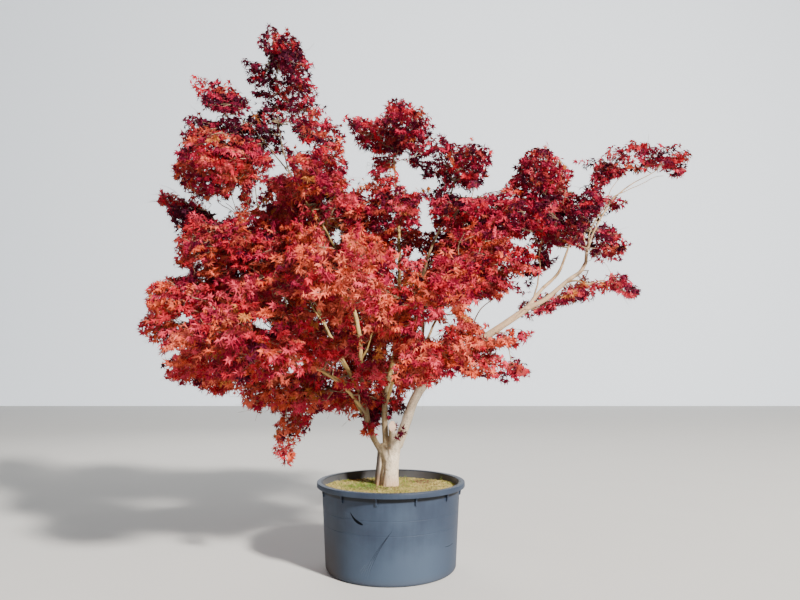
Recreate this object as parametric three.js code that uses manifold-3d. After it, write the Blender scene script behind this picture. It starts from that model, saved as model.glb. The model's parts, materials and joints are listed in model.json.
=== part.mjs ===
// A Japanese maple in red autumn leaf, growing in a round nursery tub.
// Millimetres, +Z up. The side that faces the viewer is -Y, and the crown reaches
// furthest to the right, +X. The origin is the centre of the tub's flat underside.

import * as THREE from "three";
import { mergeVertices } from "three/addons/utils/BufferGeometryUtils.js";
import Module from "manifold-3d";

const wasm = await Module();
wasm.setup();

// Clearances: pieces that touch keep CONTACT_GAP, and a cut is widened by CUT_CLEARANCE.
const CONTACT_GAP = 0.3;
const CUT_CLEARANCE = 0.35;

// Corners closer than this are one corner.
const SAME_POINT = 1e-3;

// The tub is a rolled-rim plastic pot with a slightly tapered wall.
const TUB = {
  rimRadius: 600,
  height: 670,
  lipDepth: 38,
  lipThickness: 7,
  lipRound: 6,
  wallTopRadius: 560,
  footRadius: 522,
  footRound: 28,
  wallThickness: 8,
  floorThickness: 10,
  sides: 32,
  arcSteps: 1,
};

// Small gussets hold the lip to the wall, evenly spaced round the rim.
const GUSSET = {
  count: 12,
  firstAngle: -130,
  thickness: 6,
  reach: 32,
  drop: 42,
  sink: 3,
};

// The soil is a little below the rim and banked up round the trunk.
const SOIL = {
  edgeLevel: 604,
  crownRise: 4,
  moundTop: 612,
  moundTopRadius: 190,
  moundFootRadius: 380,
  moundSides: 18,
};

// Where the trunk stands in the tub.
const TRUNK_X = -45;
const TRUNK_Y = 90;
const TRUNK_FOOT = SOIL.moundTop + CONTACT_GAP;

// Two stems have grown together as one trunk, under a shoulder that leads into the left
// fork. They start below the soil, and the cut at TRUNK_FOOT makes them flat there.
const STEM_START = SOIL.moundTop - 42;
const TRUNK_STEMS = [
  {
    path: [
      [TRUNK_X + 30, TRUNK_Y, STEM_START],
      [TRUNK_X + 40, TRUNK_Y + 2, 740],
      [TRUNK_X + 55, TRUNK_Y + 4, 860],
      [TRUNK_X + 78, TRUNK_Y + 2, 1000],
    ],
    radii: [68, 60],
    flare: 0.2,
  },
  {
    path: [
      [TRUNK_X - 59, TRUNK_Y + 30, STEM_START],
      [TRUNK_X - 53, TRUNK_Y + 26, 740],
      [TRUNK_X - 43, TRUNK_Y + 14, 860],
      [TRUNK_X - 38, TRUNK_Y + 2, 950],
    ],
    radii: [31, 29],
    flare: 0.3,
  },
  {
    path: [
      [TRUNK_X + 38, TRUNK_Y - 2, 770],
      [TRUNK_X + 2, TRUNK_Y - 8, 870],
      [TRUNK_X - 38, TRUNK_Y - 2, 950],
    ],
    radii: [42, 35],
  },
];

// A stem that was sawn off just above the fork.
const CUT_STUB = {
  path: [
    [20, 80, 950],
    [10, 45, 1045],
    [11, 22, 1118],
  ],
  radii: [36, 29],
};

// The root flare fades out over FLARE_HEIGHT and has FLARE_LOBES buttresses.
const FLARE_HEIGHT = 70;
const FLARE_LOBES = 5;
const FLARE_LOBE_DEPTH = 0.3;

// Boughs, in the order in which each one leaves its parent: path and end radii.
const BOUGHS = {
  bough_right_reach: {
    path: [[50, 90, 930], [107, 80, 1080], [215, 50, 1355], [410, 0, 1580], [860, -60, 1885], [1140, -50, 2075]],
    radii: [44, 27],
  },
  bough_right_lower: {
    path: [[1138, -50, 2074], [1290, -50, 2150], [1500, -30, 2320], [1610, -10, 2395], [1665, 0, 2480]],
    radii: [22, 16],
  },
  bough_right_rise: {
    path: [[1664, 0, 2478], [1685, 10, 2600], [1815, 40, 2860], [1975, 60, 3090], [2330, 50, 3310]],
    radii: [15, 6],
  },
  bough_right_upper: {
    path: [[1125, -50, 2065], [1275, 0, 2240], [1430, 50, 2385], [1560, 80, 2680]],
    radii: [18, 9],
  },
  bough_leader_low: {
    path: [[-78, 84, 880], [-165, 100, 1035], [-250, 100, 1480], [-280, 100, 1890], [-405, 100, 2430]],
    radii: [26, 16],
  },
  bough_leader_top: {
    path: [[-404, 100, 2428], [-545, 100, 2725], [-895, 100, 3285], [-1010, 80, 3700], [-1035, 55, 4330]],
    radii: [15, 6],
  },
  bough_centre: {
    path: [[-45, 90, 920], [-53, 100, 1290], [45, 150, 1820], [65, 180, 2770], [10, 115, 3540]],
    radii: [27, 8],
  },
  bough_left_reach: {
    path: [[-205, 100, 1210], [-335, 80, 1500], [-515, 50, 1840], [-790, 10, 2340], [-1430, 50, 2740]],
    radii: [18, 8],
  },
  bough_left_high: {
    path: [[-935, 100, 3340], [-1210, 150, 3670], [-1500, 140, 3970]],
    radii: [9, 5],
  },
  bough_left_low: {
    path: [[-238, 100, 1390], [-480, 60, 1500], [-900, 20, 1640], [-1420, 0, 1850]],
    radii: [15, 7],
  },
  bough_inner_right: {
    path: [[240, 45, 1390], [270, 100, 1870], [290, 140, 2440], [460, 150, 2900], [600, 180, 3370]],
    radii: [15, 7],
  },
  bough_front_left: {
    path: [[-205, 100, 1190], [-410, -230, 1460], [-820, -700, 1710]],
    radii: [15, 8],
  },
  bough_front_right: {
    path: [[-52, 100, 1240], [60, -270, 1600], [220, -760, 1960]],
    radii: [15, 8],
  },
  bough_back_left: {
    path: [[-190, 100, 1120], [-480, 430, 1480], [-1180, 830, 1960]],
    radii: [17, 8],
  },
  bough_back_centre: {
    path: [[-53, 100, 1330], [-180, 480, 1620], [-400, 880, 1920]],
    radii: [16, 8],
  },
  bough_back_right: {
    path: [[262, 90, 1720], [420, 430, 2060], [600, 780, 2460]],
    radii: [13, 8],
  },
};
const BOUGH_SIDES = 6;
const BOUGH_STEP = 330;
const TRUNK_SIDES = 10;
const TRUNK_STEPS = 6;

// Foliage masses: centre, half sizes along X, Y and Z before the unevenness, and the
// angle by which the right side is raised. Each name says where in the crown it is.
const MASSES = {
  foliage_spire_top: { at: [-1040, 50, 4460], half: [190, 220, 255], raise: 5 },
  foliage_spire_side: { at: [-825, -20, 4140], half: [150, 210, 285], raise: 12 },
  foliage_spire_arm: { at: [-1180, 180, 4200], half: [300, 180, 105], raise: -45 },
  foliage_left_float: { at: [-1560, 120, 4060], half: [260, 280, 200], raise: -8 },
  foliage_left_band: { at: [-1400, 150, 3720], half: [510, 420, 240], raise: 3 },
  foliage_shoulder: { at: [-650, -20, 3650], half: [250, 340, 270], raise: 0 },
  foliage_left_upper: { at: [-1470, -100, 3250], half: [440, 500, 290], raise: 0 },
  foliage_centre_upper: { at: [-710, -150, 3140], half: [380, 620, 310], raise: 0 },
  foliage_left_tip: { at: [-1780, 200, 2940], half: [380, 380, 210], raise: -12 },
  foliage_crest: { at: [-50, 100, 3710], half: [420, 400, 300], raise: 0 },
  foliage_crest_right: { at: [580, 150, 3460], half: [380, 360, 210], raise: 0 },
  foliage_crest_back: { at: [580, 350, 3200], half: [300, 350, 180], raise: 0 },
  foliage_column: { at: [60, 0, 2850], half: [240, 420, 420], raise: 0 },
  foliage_dome: { at: [1350, 100, 3280], half: [300, 420, 310], raise: 0 },
  foliage_right_upper: { at: [730, -100, 2830], half: [430, 500, 270], raise: 3 },
  foliage_right_mid: { at: [700, -250, 2390], half: [390, 550, 260], raise: 0 },
  foliage_right_outer: { at: [1480, 0, 2830], half: [380, 450, 280], raise: 0 },
  foliage_tip_inner: { at: [2050, 80, 3390], half: [260, 260, 190], raise: 8 },
  foliage_tip: { at: [2430, 50, 3410], half: [220, 220, 170], raise: 0 },
  foliage_drop_right: { at: [1810, -50, 2650], half: [220, 280, 220], raise: 0 },
  foliage_skirt_right: { at: [1730, -90, 2255], half: [355, 320, 140], raise: 0 },
  foliage_skirt_inner: { at: [1290, -150, 2080], half: [330, 280, 110], raise: 8 },
  foliage_low_right: { at: [600, -300, 1760], half: [250, 500, 270], raise: 0 },
  foliage_low_right_tip: { at: [950, -280, 1690], half: [220, 300, 230], raise: 0 },
  foliage_low_centre: { at: [170, -450, 1670], half: [310, 500, 270], raise: 0 },
  foliage_left_mid: { at: [-1510, 0, 2530], half: [400, 500, 260], raise: 0 },
  foliage_left_wide: { at: [-1750, 0, 2090], half: [400, 500, 300], raise: 0 },
  foliage_left_low: { at: [-1550, 0, 1610], half: [400, 450, 300], raise: 0 },
  foliage_hem: { at: [-810, 50, 1370], half: [490, 400, 230], raise: -3 },
  foliage_tail: { at: [-820, 0, 1040], half: [135, 190, 380], raise: 5 },
  foliage_low_front: { at: [-360, -350, 1750], half: [290, 500, 320], raise: 0 },
  foliage_heart_left: { at: [-1120, 50, 2490], half: [420, 600, 420], raise: 0 },
  foliage_heart: { at: [-440, 0, 2590], half: [400, 600, 420], raise: 0 },
  foliage_front_left: { at: [-950, -800, 1790], half: [430, 500, 330], raise: 0 },
  foliage_front_centre: { at: [-370, -1020, 2190], half: [410, 480, 320], raise: 0 },
  foliage_front_right: { at: [250, -880, 2040], half: [350, 450, 290], raise: 0 },
  foliage_back_left: { at: [-1380, 950, 2120], half: [560, 550, 420], raise: 0 },
  foliage_back_centre: { at: [-430, 1050, 2130], half: [610, 550, 510], raise: 0 },
  foliage_back_right: { at: [630, 950, 2600], half: [600, 500, 410], raise: 0 },
  foliage_back_high: { at: [-770, 750, 3100], half: [550, 450, 350], raise: 0 },
};

// A mass is lumpy: its surface falls back from the full size by up to UNEVEN_DEPTH, in
// UNEVEN_WAVES waves that cross it, and its underside is flattened. Towards a neighbour
// it stays full: the dents fade out where the wall between them is within FULL_REACH.
const UNEVEN_DEPTH = 0.24;
const UNEVEN_WAVES = 5;
const WAVE_RANGE = [2.2, 5.5];
const UNDERSIDE_FLATTENING = 0.22;
const FULL_REACH = 0.3;
const FINE_MASS_SIZE = 460;
const FINE_DETAIL = 2;
const PLAIN_DETAIL = 1;

const deg = THREE.MathUtils.degToRad;

// Colours and surfaces.
const plastic = () => new THREE.MeshStandardMaterial({ color: 0x55626f, roughness: 0.55, metalness: 0 });
const earth = () => new THREE.MeshStandardMaterial({ color: 0x6f6a38, roughness: 1, metalness: 0 });
const bark = () => new THREE.MeshStandardMaterial({ color: 0xb3a48c, roughness: 0.9, metalness: 0 });
const LEAF_REDS = [0x9c1f22, 0x7f161d, 0xb53026, 0x8c1a1f, 0xa8281f];
const leaves = (index) =>
  new THREE.MeshStandardMaterial({ color: LEAF_REDS[index % LEAF_REDS.length], roughness: 0.7, metalness: 0 });

// Repeatable numbers from 0 to 1, so that every build gives the same tree.
const DRAW = { factor: 1664525, step: 1013904223, range: 2 ** 32 };
function seededNumbers(seed) {
  let state = seed;
  return () => {
    state = (state * DRAW.factor + DRAW.step) % DRAW.range;
    return state / DRAW.range;
  };
}

// A closed geometry becomes a solid that can be cut and joined.
function toSolid(geometry) {
  const bare = geometry.clone();
  bare.deleteAttribute("normal");
  bare.deleteAttribute("uv");
  const merged = mergeVertices(bare, SAME_POINT);
  const index = merged.index.array;
  const triVerts = [];
  for (let i = 0; i < index.length; i += 3) {
    const [a, b, c] = [index[i], index[i + 1], index[i + 2]];
    if (a !== b && b !== c && c !== a) triVerts.push(a, b, c);
  }
  const vertProperties = new Float32Array(merged.attributes.position.array);
  return new wasm.Manifold(new wasm.Mesh({ numProp: 3, vertProperties, triVerts: new Uint32Array(triVerts) }));
}

// The main body of a solid, without any chip that a cut has left.
function mainBody(solid) {
  return solid.decompose().reduce((best, piece) => (piece.volume() > best.volume() ? piece : best));
}

function toGeometry(solid) {
  const mesh = solid.getMesh();
  const geometry = new THREE.BufferGeometry();
  geometry.setAttribute("position", new THREE.BufferAttribute(new Float32Array(mesh.vertProperties), 3));
  geometry.setIndex(Array.from(mesh.triVerts));
  geometry.computeVertexNormals();
  return geometry;
}

function named(name, geometry, material) {
  const mesh = new THREE.Mesh(geometry, material);
  mesh.name = name;
  return mesh;
}

// A profile of radius and height, turned about the upright axis.
function turned(points, sides) {
  return new THREE.LatheGeometry(points, sides).rotateX(Math.PI / 2);
}

// Inner radius of the tub's wall at a height.
function tubInnerRadius(z) {
  const slope = (TUB.wallTopRadius - TUB.footRadius) / TUB.height;
  return TUB.footRadius - TUB.wallThickness + slope * z;
}

function buildTub() {
  const lipUnderside = TUB.height - TUB.lipThickness;
  const lipEdge = TUB.height - TUB.lipDepth;
  const profile = new THREE.Path();
  profile.moveTo(0, 0);
  profile.lineTo(TUB.footRadius - TUB.footRound, 0);
  profile.absarc(TUB.footRadius - TUB.footRound, TUB.footRound, TUB.footRound, -Math.PI / 2, 0, false);
  profile.lineTo(TUB.wallTopRadius, lipUnderside);
  profile.lineTo(TUB.rimRadius - TUB.lipThickness, lipUnderside);
  profile.lineTo(TUB.rimRadius - TUB.lipThickness, lipEdge);
  profile.lineTo(TUB.rimRadius, lipEdge);
  profile.lineTo(TUB.rimRadius, TUB.height - TUB.lipRound);
  profile.absarc(TUB.rimRadius - TUB.lipRound, TUB.height - TUB.lipRound, TUB.lipRound, 0, Math.PI / 2, false);
  profile.lineTo(tubInnerRadius(TUB.height), TUB.height);
  profile.lineTo(tubInnerRadius(TUB.floorThickness), TUB.floorThickness);
  profile.lineTo(0, TUB.floorThickness);

  let solid = toSolid(turned(profile.getPoints(TUB.arcSteps), TUB.sides));
  const gusset = new THREE.Shape();
  const top = lipUnderside + GUSSET.sink;
  gusset.moveTo(TUB.wallTopRadius - GUSSET.sink, top);
  gusset.lineTo(TUB.wallTopRadius + GUSSET.reach, top);
  gusset.lineTo(TUB.wallTopRadius + GUSSET.reach, lipEdge);
  gusset.lineTo(TUB.wallTopRadius - GUSSET.sink, lipEdge - GUSSET.drop);
  gusset.closePath();
  for (let i = 0; i < GUSSET.count; i += 1) {
    const plate = new THREE.ExtrudeGeometry(gusset, { depth: GUSSET.thickness, bevelEnabled: false });
    plate.translate(0, 0, -GUSSET.thickness / 2).rotateX(Math.PI / 2);
    plate.rotateZ(deg(GUSSET.firstAngle + (360 / GUSSET.count) * i));
    solid = solid.add(toSolid(plate));
  }
  return named("tub", toGeometry(solid), plastic());
}

function buildSoil() {
  const bottom = TUB.floorThickness + CONTACT_GAP;
  const profile = [
    [0, bottom],
    [tubInnerRadius(bottom) - CONTACT_GAP, bottom],
    [tubInnerRadius(SOIL.edgeLevel) - CONTACT_GAP, SOIL.edgeLevel],
    [0, SOIL.edgeLevel + SOIL.crownRise],
  ].map(([radius, height]) => new THREE.Vector2(radius, height));
  const bed = toSolid(turned(profile, TUB.sides));

  const moundHeight = SOIL.moundTop - SOIL.edgeLevel;
  const mound = new THREE.CylinderGeometry(SOIL.moundTopRadius, SOIL.moundFootRadius, moundHeight, SOIL.moundSides);
  mound.rotateX(Math.PI / 2).translate(TRUNK_X, TRUNK_Y, SOIL.edgeLevel + moundHeight / 2);
  return named("soil", toGeometry(bed.add(toSolid(mound))), earth());
}

// A round limb that tapers evenly along a smooth path. Its skin can be moved out by
// `extra`, and `flare` widens its foot into buttresses.
function limbGeometry({ path, radii, flare = 0 }, sides, steps, extra = 0) {
  const curve = new THREE.CatmullRomCurve3(path.map((point) => new THREE.Vector3(...point)), false, "centripetal");
  const frames = curve.computeFrenetFrames(steps, false);
  const limb = new THREE.CylinderGeometry(1, 1, 1, sides, steps);
  const position = limb.attributes.position;
  for (let i = 0; i < position.count; i += 1) {
    const along = position.getY(i) + 0.5;
    const step = Math.round(along * steps);
    const centre = curve.getPointAt(along);
    const angle = Math.atan2(position.getZ(i), position.getX(i));
    const rise = Math.max(0, centre.z - TRUNK_FOOT);
    const lobe = 1 + FLARE_LOBE_DEPTH * Math.cos(FLARE_LOBES * angle);
    const spread = 1 + flare * lobe * Math.exp(-rise / FLARE_HEIGHT);
    const radius = THREE.MathUtils.lerp(radii[0], radii[1], along) * spread + extra;
    centre.addScaledVector(frames.normals[step], position.getX(i) * radius);
    centre.addScaledVector(frames.binormals[step], -position.getZ(i) * radius);
    if (along === 0) centre.addScaledVector(frames.tangents[step], -extra);
    if (along === 1) centre.addScaledVector(frames.tangents[step], extra);
    position.setXYZ(i, centre.x, centre.y, centre.z);
  }
  return limb;
}

function boughSteps({ path }) {
  const ends = [path[0], path[path.length - 1]].map((point) => new THREE.Vector3(...point));
  return Math.max(path.length, Math.round(ends[0].distanceTo(ends[1]) / BOUGH_STEP));
}

// The trunk with its sawn-off stub, cut flat where it meets the soil.
function trunkSolid(extra = 0) {
  const stems = TRUNK_STEMS.map((stem) => toSolid(limbGeometry(stem, TRUNK_SIDES, TRUNK_STEPS, extra)));
  const stub = toSolid(limbGeometry(CUT_STUB, BOUGH_SIDES, CUT_STUB.path.length, extra));
  const cutSize = 4 * SOIL.moundTopRadius;
  const below = new THREE.BoxGeometry(cutSize, cutSize, cutSize);
  below.translate(TRUNK_X, TRUNK_Y, TRUNK_FOOT - cutSize / 2);
  return stems.reduce((trunk, stem) => trunk.add(stem), stub).subtract(toSolid(below));
}

// Every bough stands on its parent: its foot is cut to the skin of the limbs before it.
function buildLimbs() {
  const meshes = [named("trunk", toGeometry(trunkSolid()), bark())];
  let filled = trunkSolid(CUT_CLEARANCE);
  for (const [name, bough] of Object.entries(BOUGHS)) {
    const steps = boughSteps(bough);
    const whole = toSolid(limbGeometry(bough, BOUGH_SIDES, steps));
    meshes.push(named(name, toGeometry(mainBody(whole.subtract(filled))), bark()));
    filled = filled.add(toSolid(limbGeometry(bough, BOUGH_SIDES, steps, CUT_CLEARANCE)));
  }
  return { meshes, filled };
}

// The ellipsoid behind a mass: its shape matrix, and how far it reaches in a direction.
function massShape({ at, half, raise }) {
  const turn = new THREE.Matrix3().setFromMatrix4(new THREE.Matrix4().makeRotationY(deg(-raise)));
  const back = turn.clone().transpose();
  const weights = new THREE.Vector3(...half).multiply(new THREE.Vector3(...half));
  const gradient = (direction) => direction.clone().applyMatrix3(back).divide(weights).applyMatrix3(turn);
  const reach = (direction) => 1 / Math.sqrt(direction.dot(gradient(direction)));
  return { centre: new THREE.Vector3(...at), size: Math.max(...half), gradient, reach };
}

// Neighbouring masses meet on a plane that lies between them, shared by their sizes.
function wallsBetween(shape, others) {
  const walls = [];
  for (const other of others) {
    const offset = other.centre.clone().sub(shape.centre);
    if (other === shape || offset.length() > shape.size + other.size) continue;
    const direction = offset.clone().normalize();
    const [own, far] = [shape.reach(direction), other.reach(direction)];
    const normal = shape.gradient(direction).normalize().add(other.gradient(direction).normalize()).normalize();
    const distance = (normal.dot(offset) * own) / (own + far) - CONTACT_GAP / 2;
    walls.push({ normal, distance });
  }
  return walls;
}

function massGeometry(shape, walls, seed) {
  const random = seededNumbers(seed);
  const waves = Array.from({ length: UNEVEN_WAVES }, () => ({
    axis: new THREE.Vector3(random() - 0.5, random() - 0.5, random() - 0.5).normalize(),
    rate: THREE.MathUtils.lerp(WAVE_RANGE[0], WAVE_RANGE[1], random()),
    start: random() * 2 * Math.PI,
  }));
  const detail = shape.size > FINE_MASS_SIZE ? FINE_DETAIL : PLAIN_DETAIL;
  const ball = new THREE.IcosahedronGeometry(1, detail);
  const position = ball.attributes.position;
  const direction = new THREE.Vector3();
  for (let i = 0; i < position.count; i += 1) {
    direction.fromBufferAttribute(position, i).normalize();
    const ripple = waves.reduce((sum, wave) => sum + Math.sin(wave.rate * direction.dot(wave.axis) + wave.start), 0);
    const dent = UNEVEN_DEPTH * (0.5 + ripple / (2 * UNEVEN_WAVES));
    const underside = UNDERSIDE_FLATTENING * Math.max(0, -direction.z);
    const full = shape.reach(direction);
    const facingWalls = walls.filter(({ normal }) => normal.dot(direction) > 0);
    const wall = Math.min(...facingWalls.map(({ normal, distance }) => distance / normal.dot(direction)));
    const open = THREE.MathUtils.clamp((wall / full - 1) / FULL_REACH, 0, 1);
    const radius = Math.min(wall, full * THREE.MathUtils.lerp(1, (1 - dent) * (1 - underside), open));
    position.setXYZ(i, direction.x * radius, direction.y * radius, direction.z * radius);
  }
  return ball;
}

function buildMasses(limbs) {
  const shapes = Object.values(MASSES).map(massShape);
  return Object.keys(MASSES).map((name, index) => {
    const shape = shapes[index];
    const { x, y, z } = shape.centre;
    const whole = massGeometry(shape, wallsBetween(shape, shapes), index + 1).translate(x, y, z);
    const cut = mainBody(toSolid(whole).subtract(limbs));
    const mesh = named(name, toGeometry(cut).translate(-x, -y, -z), leaves(index));
    mesh.position.copy(shape.centre);
    return mesh;
  });
}

const pot = new THREE.Group();
pot.add(buildTub(), buildSoil());

const { meshes, filled } = buildLimbs();
const wood = new THREE.Group();
wood.add(...meshes);

const crown = new THREE.Group();
crown.add(...buildMasses(filled));

const maple = new THREE.Group();
maple.name = "potted_maple";
maple.add(pot, wood, crown);

export default maple;
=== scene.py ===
"""A Japanese maple in red autumn leaf, growing in a round nursery tub, in metres.

+Z is up, the side that faces the viewer is -Y and the crown reaches furthest to the
right, +X. The origin is the centre of the tub's flat underside. The boughs grow out
of the limbs' solids, and the leaves fill the foliage masses of the fixed frame.
"""

import json
import logging
import math
from dataclasses import dataclass
from enum import Enum

import bpy
import numpy as np
from mathutils import Euler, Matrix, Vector, noise
from mathutils.bvhtree import BVHTree
from mathutils.kdtree import KDTree

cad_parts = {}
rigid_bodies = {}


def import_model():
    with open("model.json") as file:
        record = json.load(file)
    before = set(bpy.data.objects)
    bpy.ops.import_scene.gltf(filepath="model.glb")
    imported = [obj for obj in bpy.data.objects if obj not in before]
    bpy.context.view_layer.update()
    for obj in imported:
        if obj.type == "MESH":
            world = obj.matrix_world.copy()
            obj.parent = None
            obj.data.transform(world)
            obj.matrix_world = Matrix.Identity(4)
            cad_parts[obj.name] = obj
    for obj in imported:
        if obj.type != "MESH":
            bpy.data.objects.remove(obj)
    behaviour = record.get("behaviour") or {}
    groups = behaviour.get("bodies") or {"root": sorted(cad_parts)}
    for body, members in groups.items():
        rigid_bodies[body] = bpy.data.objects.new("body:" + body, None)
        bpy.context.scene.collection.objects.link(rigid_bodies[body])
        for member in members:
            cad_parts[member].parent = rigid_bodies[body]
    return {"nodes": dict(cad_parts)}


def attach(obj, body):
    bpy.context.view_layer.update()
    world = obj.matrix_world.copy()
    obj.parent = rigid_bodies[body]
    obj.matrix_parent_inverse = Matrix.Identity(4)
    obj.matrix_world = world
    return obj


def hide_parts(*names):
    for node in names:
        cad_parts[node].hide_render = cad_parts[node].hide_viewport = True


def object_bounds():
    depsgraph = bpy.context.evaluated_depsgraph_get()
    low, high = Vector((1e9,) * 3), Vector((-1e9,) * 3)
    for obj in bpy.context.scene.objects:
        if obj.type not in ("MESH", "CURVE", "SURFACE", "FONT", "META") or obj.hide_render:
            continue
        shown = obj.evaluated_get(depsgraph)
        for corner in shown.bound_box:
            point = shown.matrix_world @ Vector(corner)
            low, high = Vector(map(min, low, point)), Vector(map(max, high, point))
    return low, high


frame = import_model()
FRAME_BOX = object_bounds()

log = logging.getLogger("maple")

Colour = tuple[float, float, float]
Point = tuple[float, float, float]
Pixel = tuple[float, float]
Span = tuple[float, float]
Waves = tuple[float, int]
Array = np.ndarray
Chance = np.random.Generator
Socket = bpy.types.NodeSocket
Material = bpy.types.Material
Mesh = bpy.types.Mesh

BODY = "root"
GRAIN = "grain"
UP = np.array((0.0, 0.0, 1.0))
LEVEL = (1, 1, 0)
CROWN_MIDDLE = (0.1, 0.0, 2.2)
CENTRIPETAL = 0.5
NEARLY_ALONG = 0.9
QUARTER_TURN = 90.0
FULL_TURN = 2 * math.pi
TINY = 1e-9
SHOOT_DROOP = 0.10


def unit(vectors: Array) -> Array:
    """Vectors brought to length 1."""
    return vectors / np.maximum(np.linalg.norm(vectors, axis=-1, keepdims=True), TINY)


def smooth_step(low: float, high: float, value: Array) -> Array:
    """A soft step from 0 at low to 1 at high."""
    t = np.clip((value - low) / (high - low), 0.0, 1.0)
    return t * t * (3 - 2 * t)


def rough(points: Array, scale: float, layers: int) -> Array:
    """Smooth seeded unevenness from about -1 to 1 at each point.

    Args:
        points: Points as rows.
        scale: Waves per metre.
        layers: How many layers it has, each twice as fine as the one before.

    Returns:
        One number for each point.
    """
    return np.array([noise.fractal(Vector(p) * scale, 1.0, 2.0, layers) for p in points])


def rounded_path(points: list[Point], step: float) -> Array:
    """A centripetal curve through a limb's points, as the limbs' solids have it.

    Args:
        points: The points that the curve passes through.
        step: Distance between the curve's own points.

    Returns:
        Points along the curve as rows.
    """
    given = np.array(points, float)
    whole = np.vstack([2 * given[0] - given[1], given, 2 * given[-1] - given[-2]])
    parts = []
    for p0, p1, p2, p3 in zip(whole, whole[1:], whole[2:], whole[3:]):
        sides = ((p0, p1), (p1, p2), (p2, p3))
        before, here, after = (np.linalg.norm(b - a) ** CENTRIPETAL for a, b in sides)
        leave = ((p1 - p0) / before - (p2 - p0) / (before + here) + (p2 - p1) / here) * here
        arrive = ((p2 - p1) / here - (p3 - p1) / (here + after) + (p3 - p2) / after) * here
        count = max(1, round(np.linalg.norm(p2 - p1) / step))
        t = (np.arange(count) / count)[:, None]
        parts.append(
            (2 * t**3 - 3 * t**2 + 1) * p1
            + (t**3 - 2 * t**2 + t) * leave
            + (3 * t**2 - 2 * t**3) * p2
            + (t**3 - t**2) * arrive
        )
    parts.append(given[-1:])
    return np.vstack(parts)


def distances_along(line: Array) -> Array:
    """Distance of each point of a line from its start."""
    return np.concatenate([[0.0], np.cumsum(np.linalg.norm(np.diff(line, axis=0), axis=1))])


def carried_frames(line: Array) -> tuple[Array, Array, Array]:
    """Directions along and across a line, carried along it without twisting.

    Args:
        line: Points along the line as rows.

    Returns:
        The direction along the line and two directions across it, at each point.
    """
    along = unit(np.gradient(line, axis=0))
    aside = (0.0, 1.0, 0.0) if abs(along[0][1]) < NEARLY_ALONG else (1.0, 0.0, 0.0)
    first = np.empty_like(along)
    first[0] = unit(np.cross(along[0], aside))
    for i in range(1, len(line)):
        first[i] = unit(first[i - 1] - along[i] * (first[i - 1] @ along[i]))
    return along, first, np.cross(along, first)


def round_points(far: Array | float, turn: Array) -> tuple[Array, Array]:
    """Across and deep places at distances and angles round the upright axis."""
    return far * np.cos(turn), far * np.sin(turn)


def search_tree(points: Array) -> KDTree:
    """A tree for finding the nearest of some points.

    Args:
        points: Points as rows.

    Returns:
        The tree, which knows each point by its row.
    """
    finder = KDTree(len(points))
    for number, point in enumerate(points):
        finder.insert(point, number)
    finder.balance()
    return finder


@dataclass
class Shape:
    """A triangle mesh.

    The grain gives each point its place in the straightened limb, and the finish
    numbers say which of the piece's finishes each triangle has.
    """

    points: Array
    triangles: Array
    grain: Array | None = None
    finishes: Array | None = None

    @staticmethod
    def joined(shapes: list["Shape"]) -> "Shape":
        """Several shapes as one, each with its own grain and finish numbers.

        Args:
            shapes: The shapes, at least one.

        Returns:
            One shape.
        """
        starts = np.cumsum([0] + [len(s.points) for s in shapes[:-1]])
        return Shape(
            np.vstack([s.points for s in shapes]),
            np.vstack([s.triangles + start for s, start in zip(shapes, starts)]),
            np.vstack([s.points if s.grain is None else s.grain for s in shapes]),
            np.concatenate([s.finish_numbers() for s in shapes]),
        )

    def finish_numbers(self) -> Array:
        """The finish number of each triangle, 0 where none was given."""
        return np.zeros(len(self.triangles), int) if self.finishes is None else self.finishes

    def with_finish(self, number: int) -> "Shape":
        """The same shape with one finish number on all of it."""
        return Shape(self.points, self.triangles, self.grain, np.full(len(self.triangles), number))


def strip_triangles(rows: int, columns: int, closed: bool) -> Array:
    """Triangles that skin a grid of points.

    Args:
        rows: Rows of points.
        columns: Points in a row.
        closed: Whether the last column joins the first one.

    Returns:
        Triangles as rows of three point numbers.
    """
    across = np.arange(columns if closed else columns - 1)
    a = (np.arange(rows - 1)[:, None] * columns + across).ravel()
    b = (np.arange(rows - 1)[:, None] * columns + (across + 1) % columns).ravel()
    return np.vstack([np.stack([a, b, b + columns], 1), np.stack([a, b + columns, a + columns], 1)])


def tube(line: Array, radii: Array, sides: int, capped: bool = True) -> Shape:
    """A round limb along a line.

    Args:
        line: Points along its middle.
        radii: Its radius at each point, or at each point and side.
        sides: Sides of its cross-section.
        capped: Whether its ends are closed.

    Returns:
        Its shape, with its grain.
    """
    _, first, second = carried_frames(line)
    turn = np.linspace(0, FULL_TURN, sides, endpoint=False)
    wide = np.broadcast_to(np.asarray(radii)[:, None] if np.ndim(radii) == 1 else radii, (len(line), sides))
    x, y = round_points(wide, turn)
    rings = line[:, None] + first[:, None] * x[..., None] + second[:, None] * y[..., None]
    far = np.broadcast_to(distances_along(line)[:, None], x.shape)
    points = rings.reshape(-1, 3)
    grain = np.stack([x, y, far], -1).reshape(-1, 3)
    triangles = [strip_triangles(len(line), sides, True)]
    if capped:
        ends = len(points)
        points = np.vstack([points, line[0], line[-1]])
        grain = np.vstack([grain, (0, 0, 0), (0, 0, far[-1, 0])])
        ring = np.arange(sides)
        following = (ring + 1) % sides
        last = (len(line) - 1) * sides
        triangles.append(np.stack([following, ring, np.full(sides, ends)], 1))
        triangles.append(np.stack([last + ring, last + following, np.full(sides, ends + 1)], 1))
    return Shape(points, np.vstack(triangles), grain)


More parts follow.
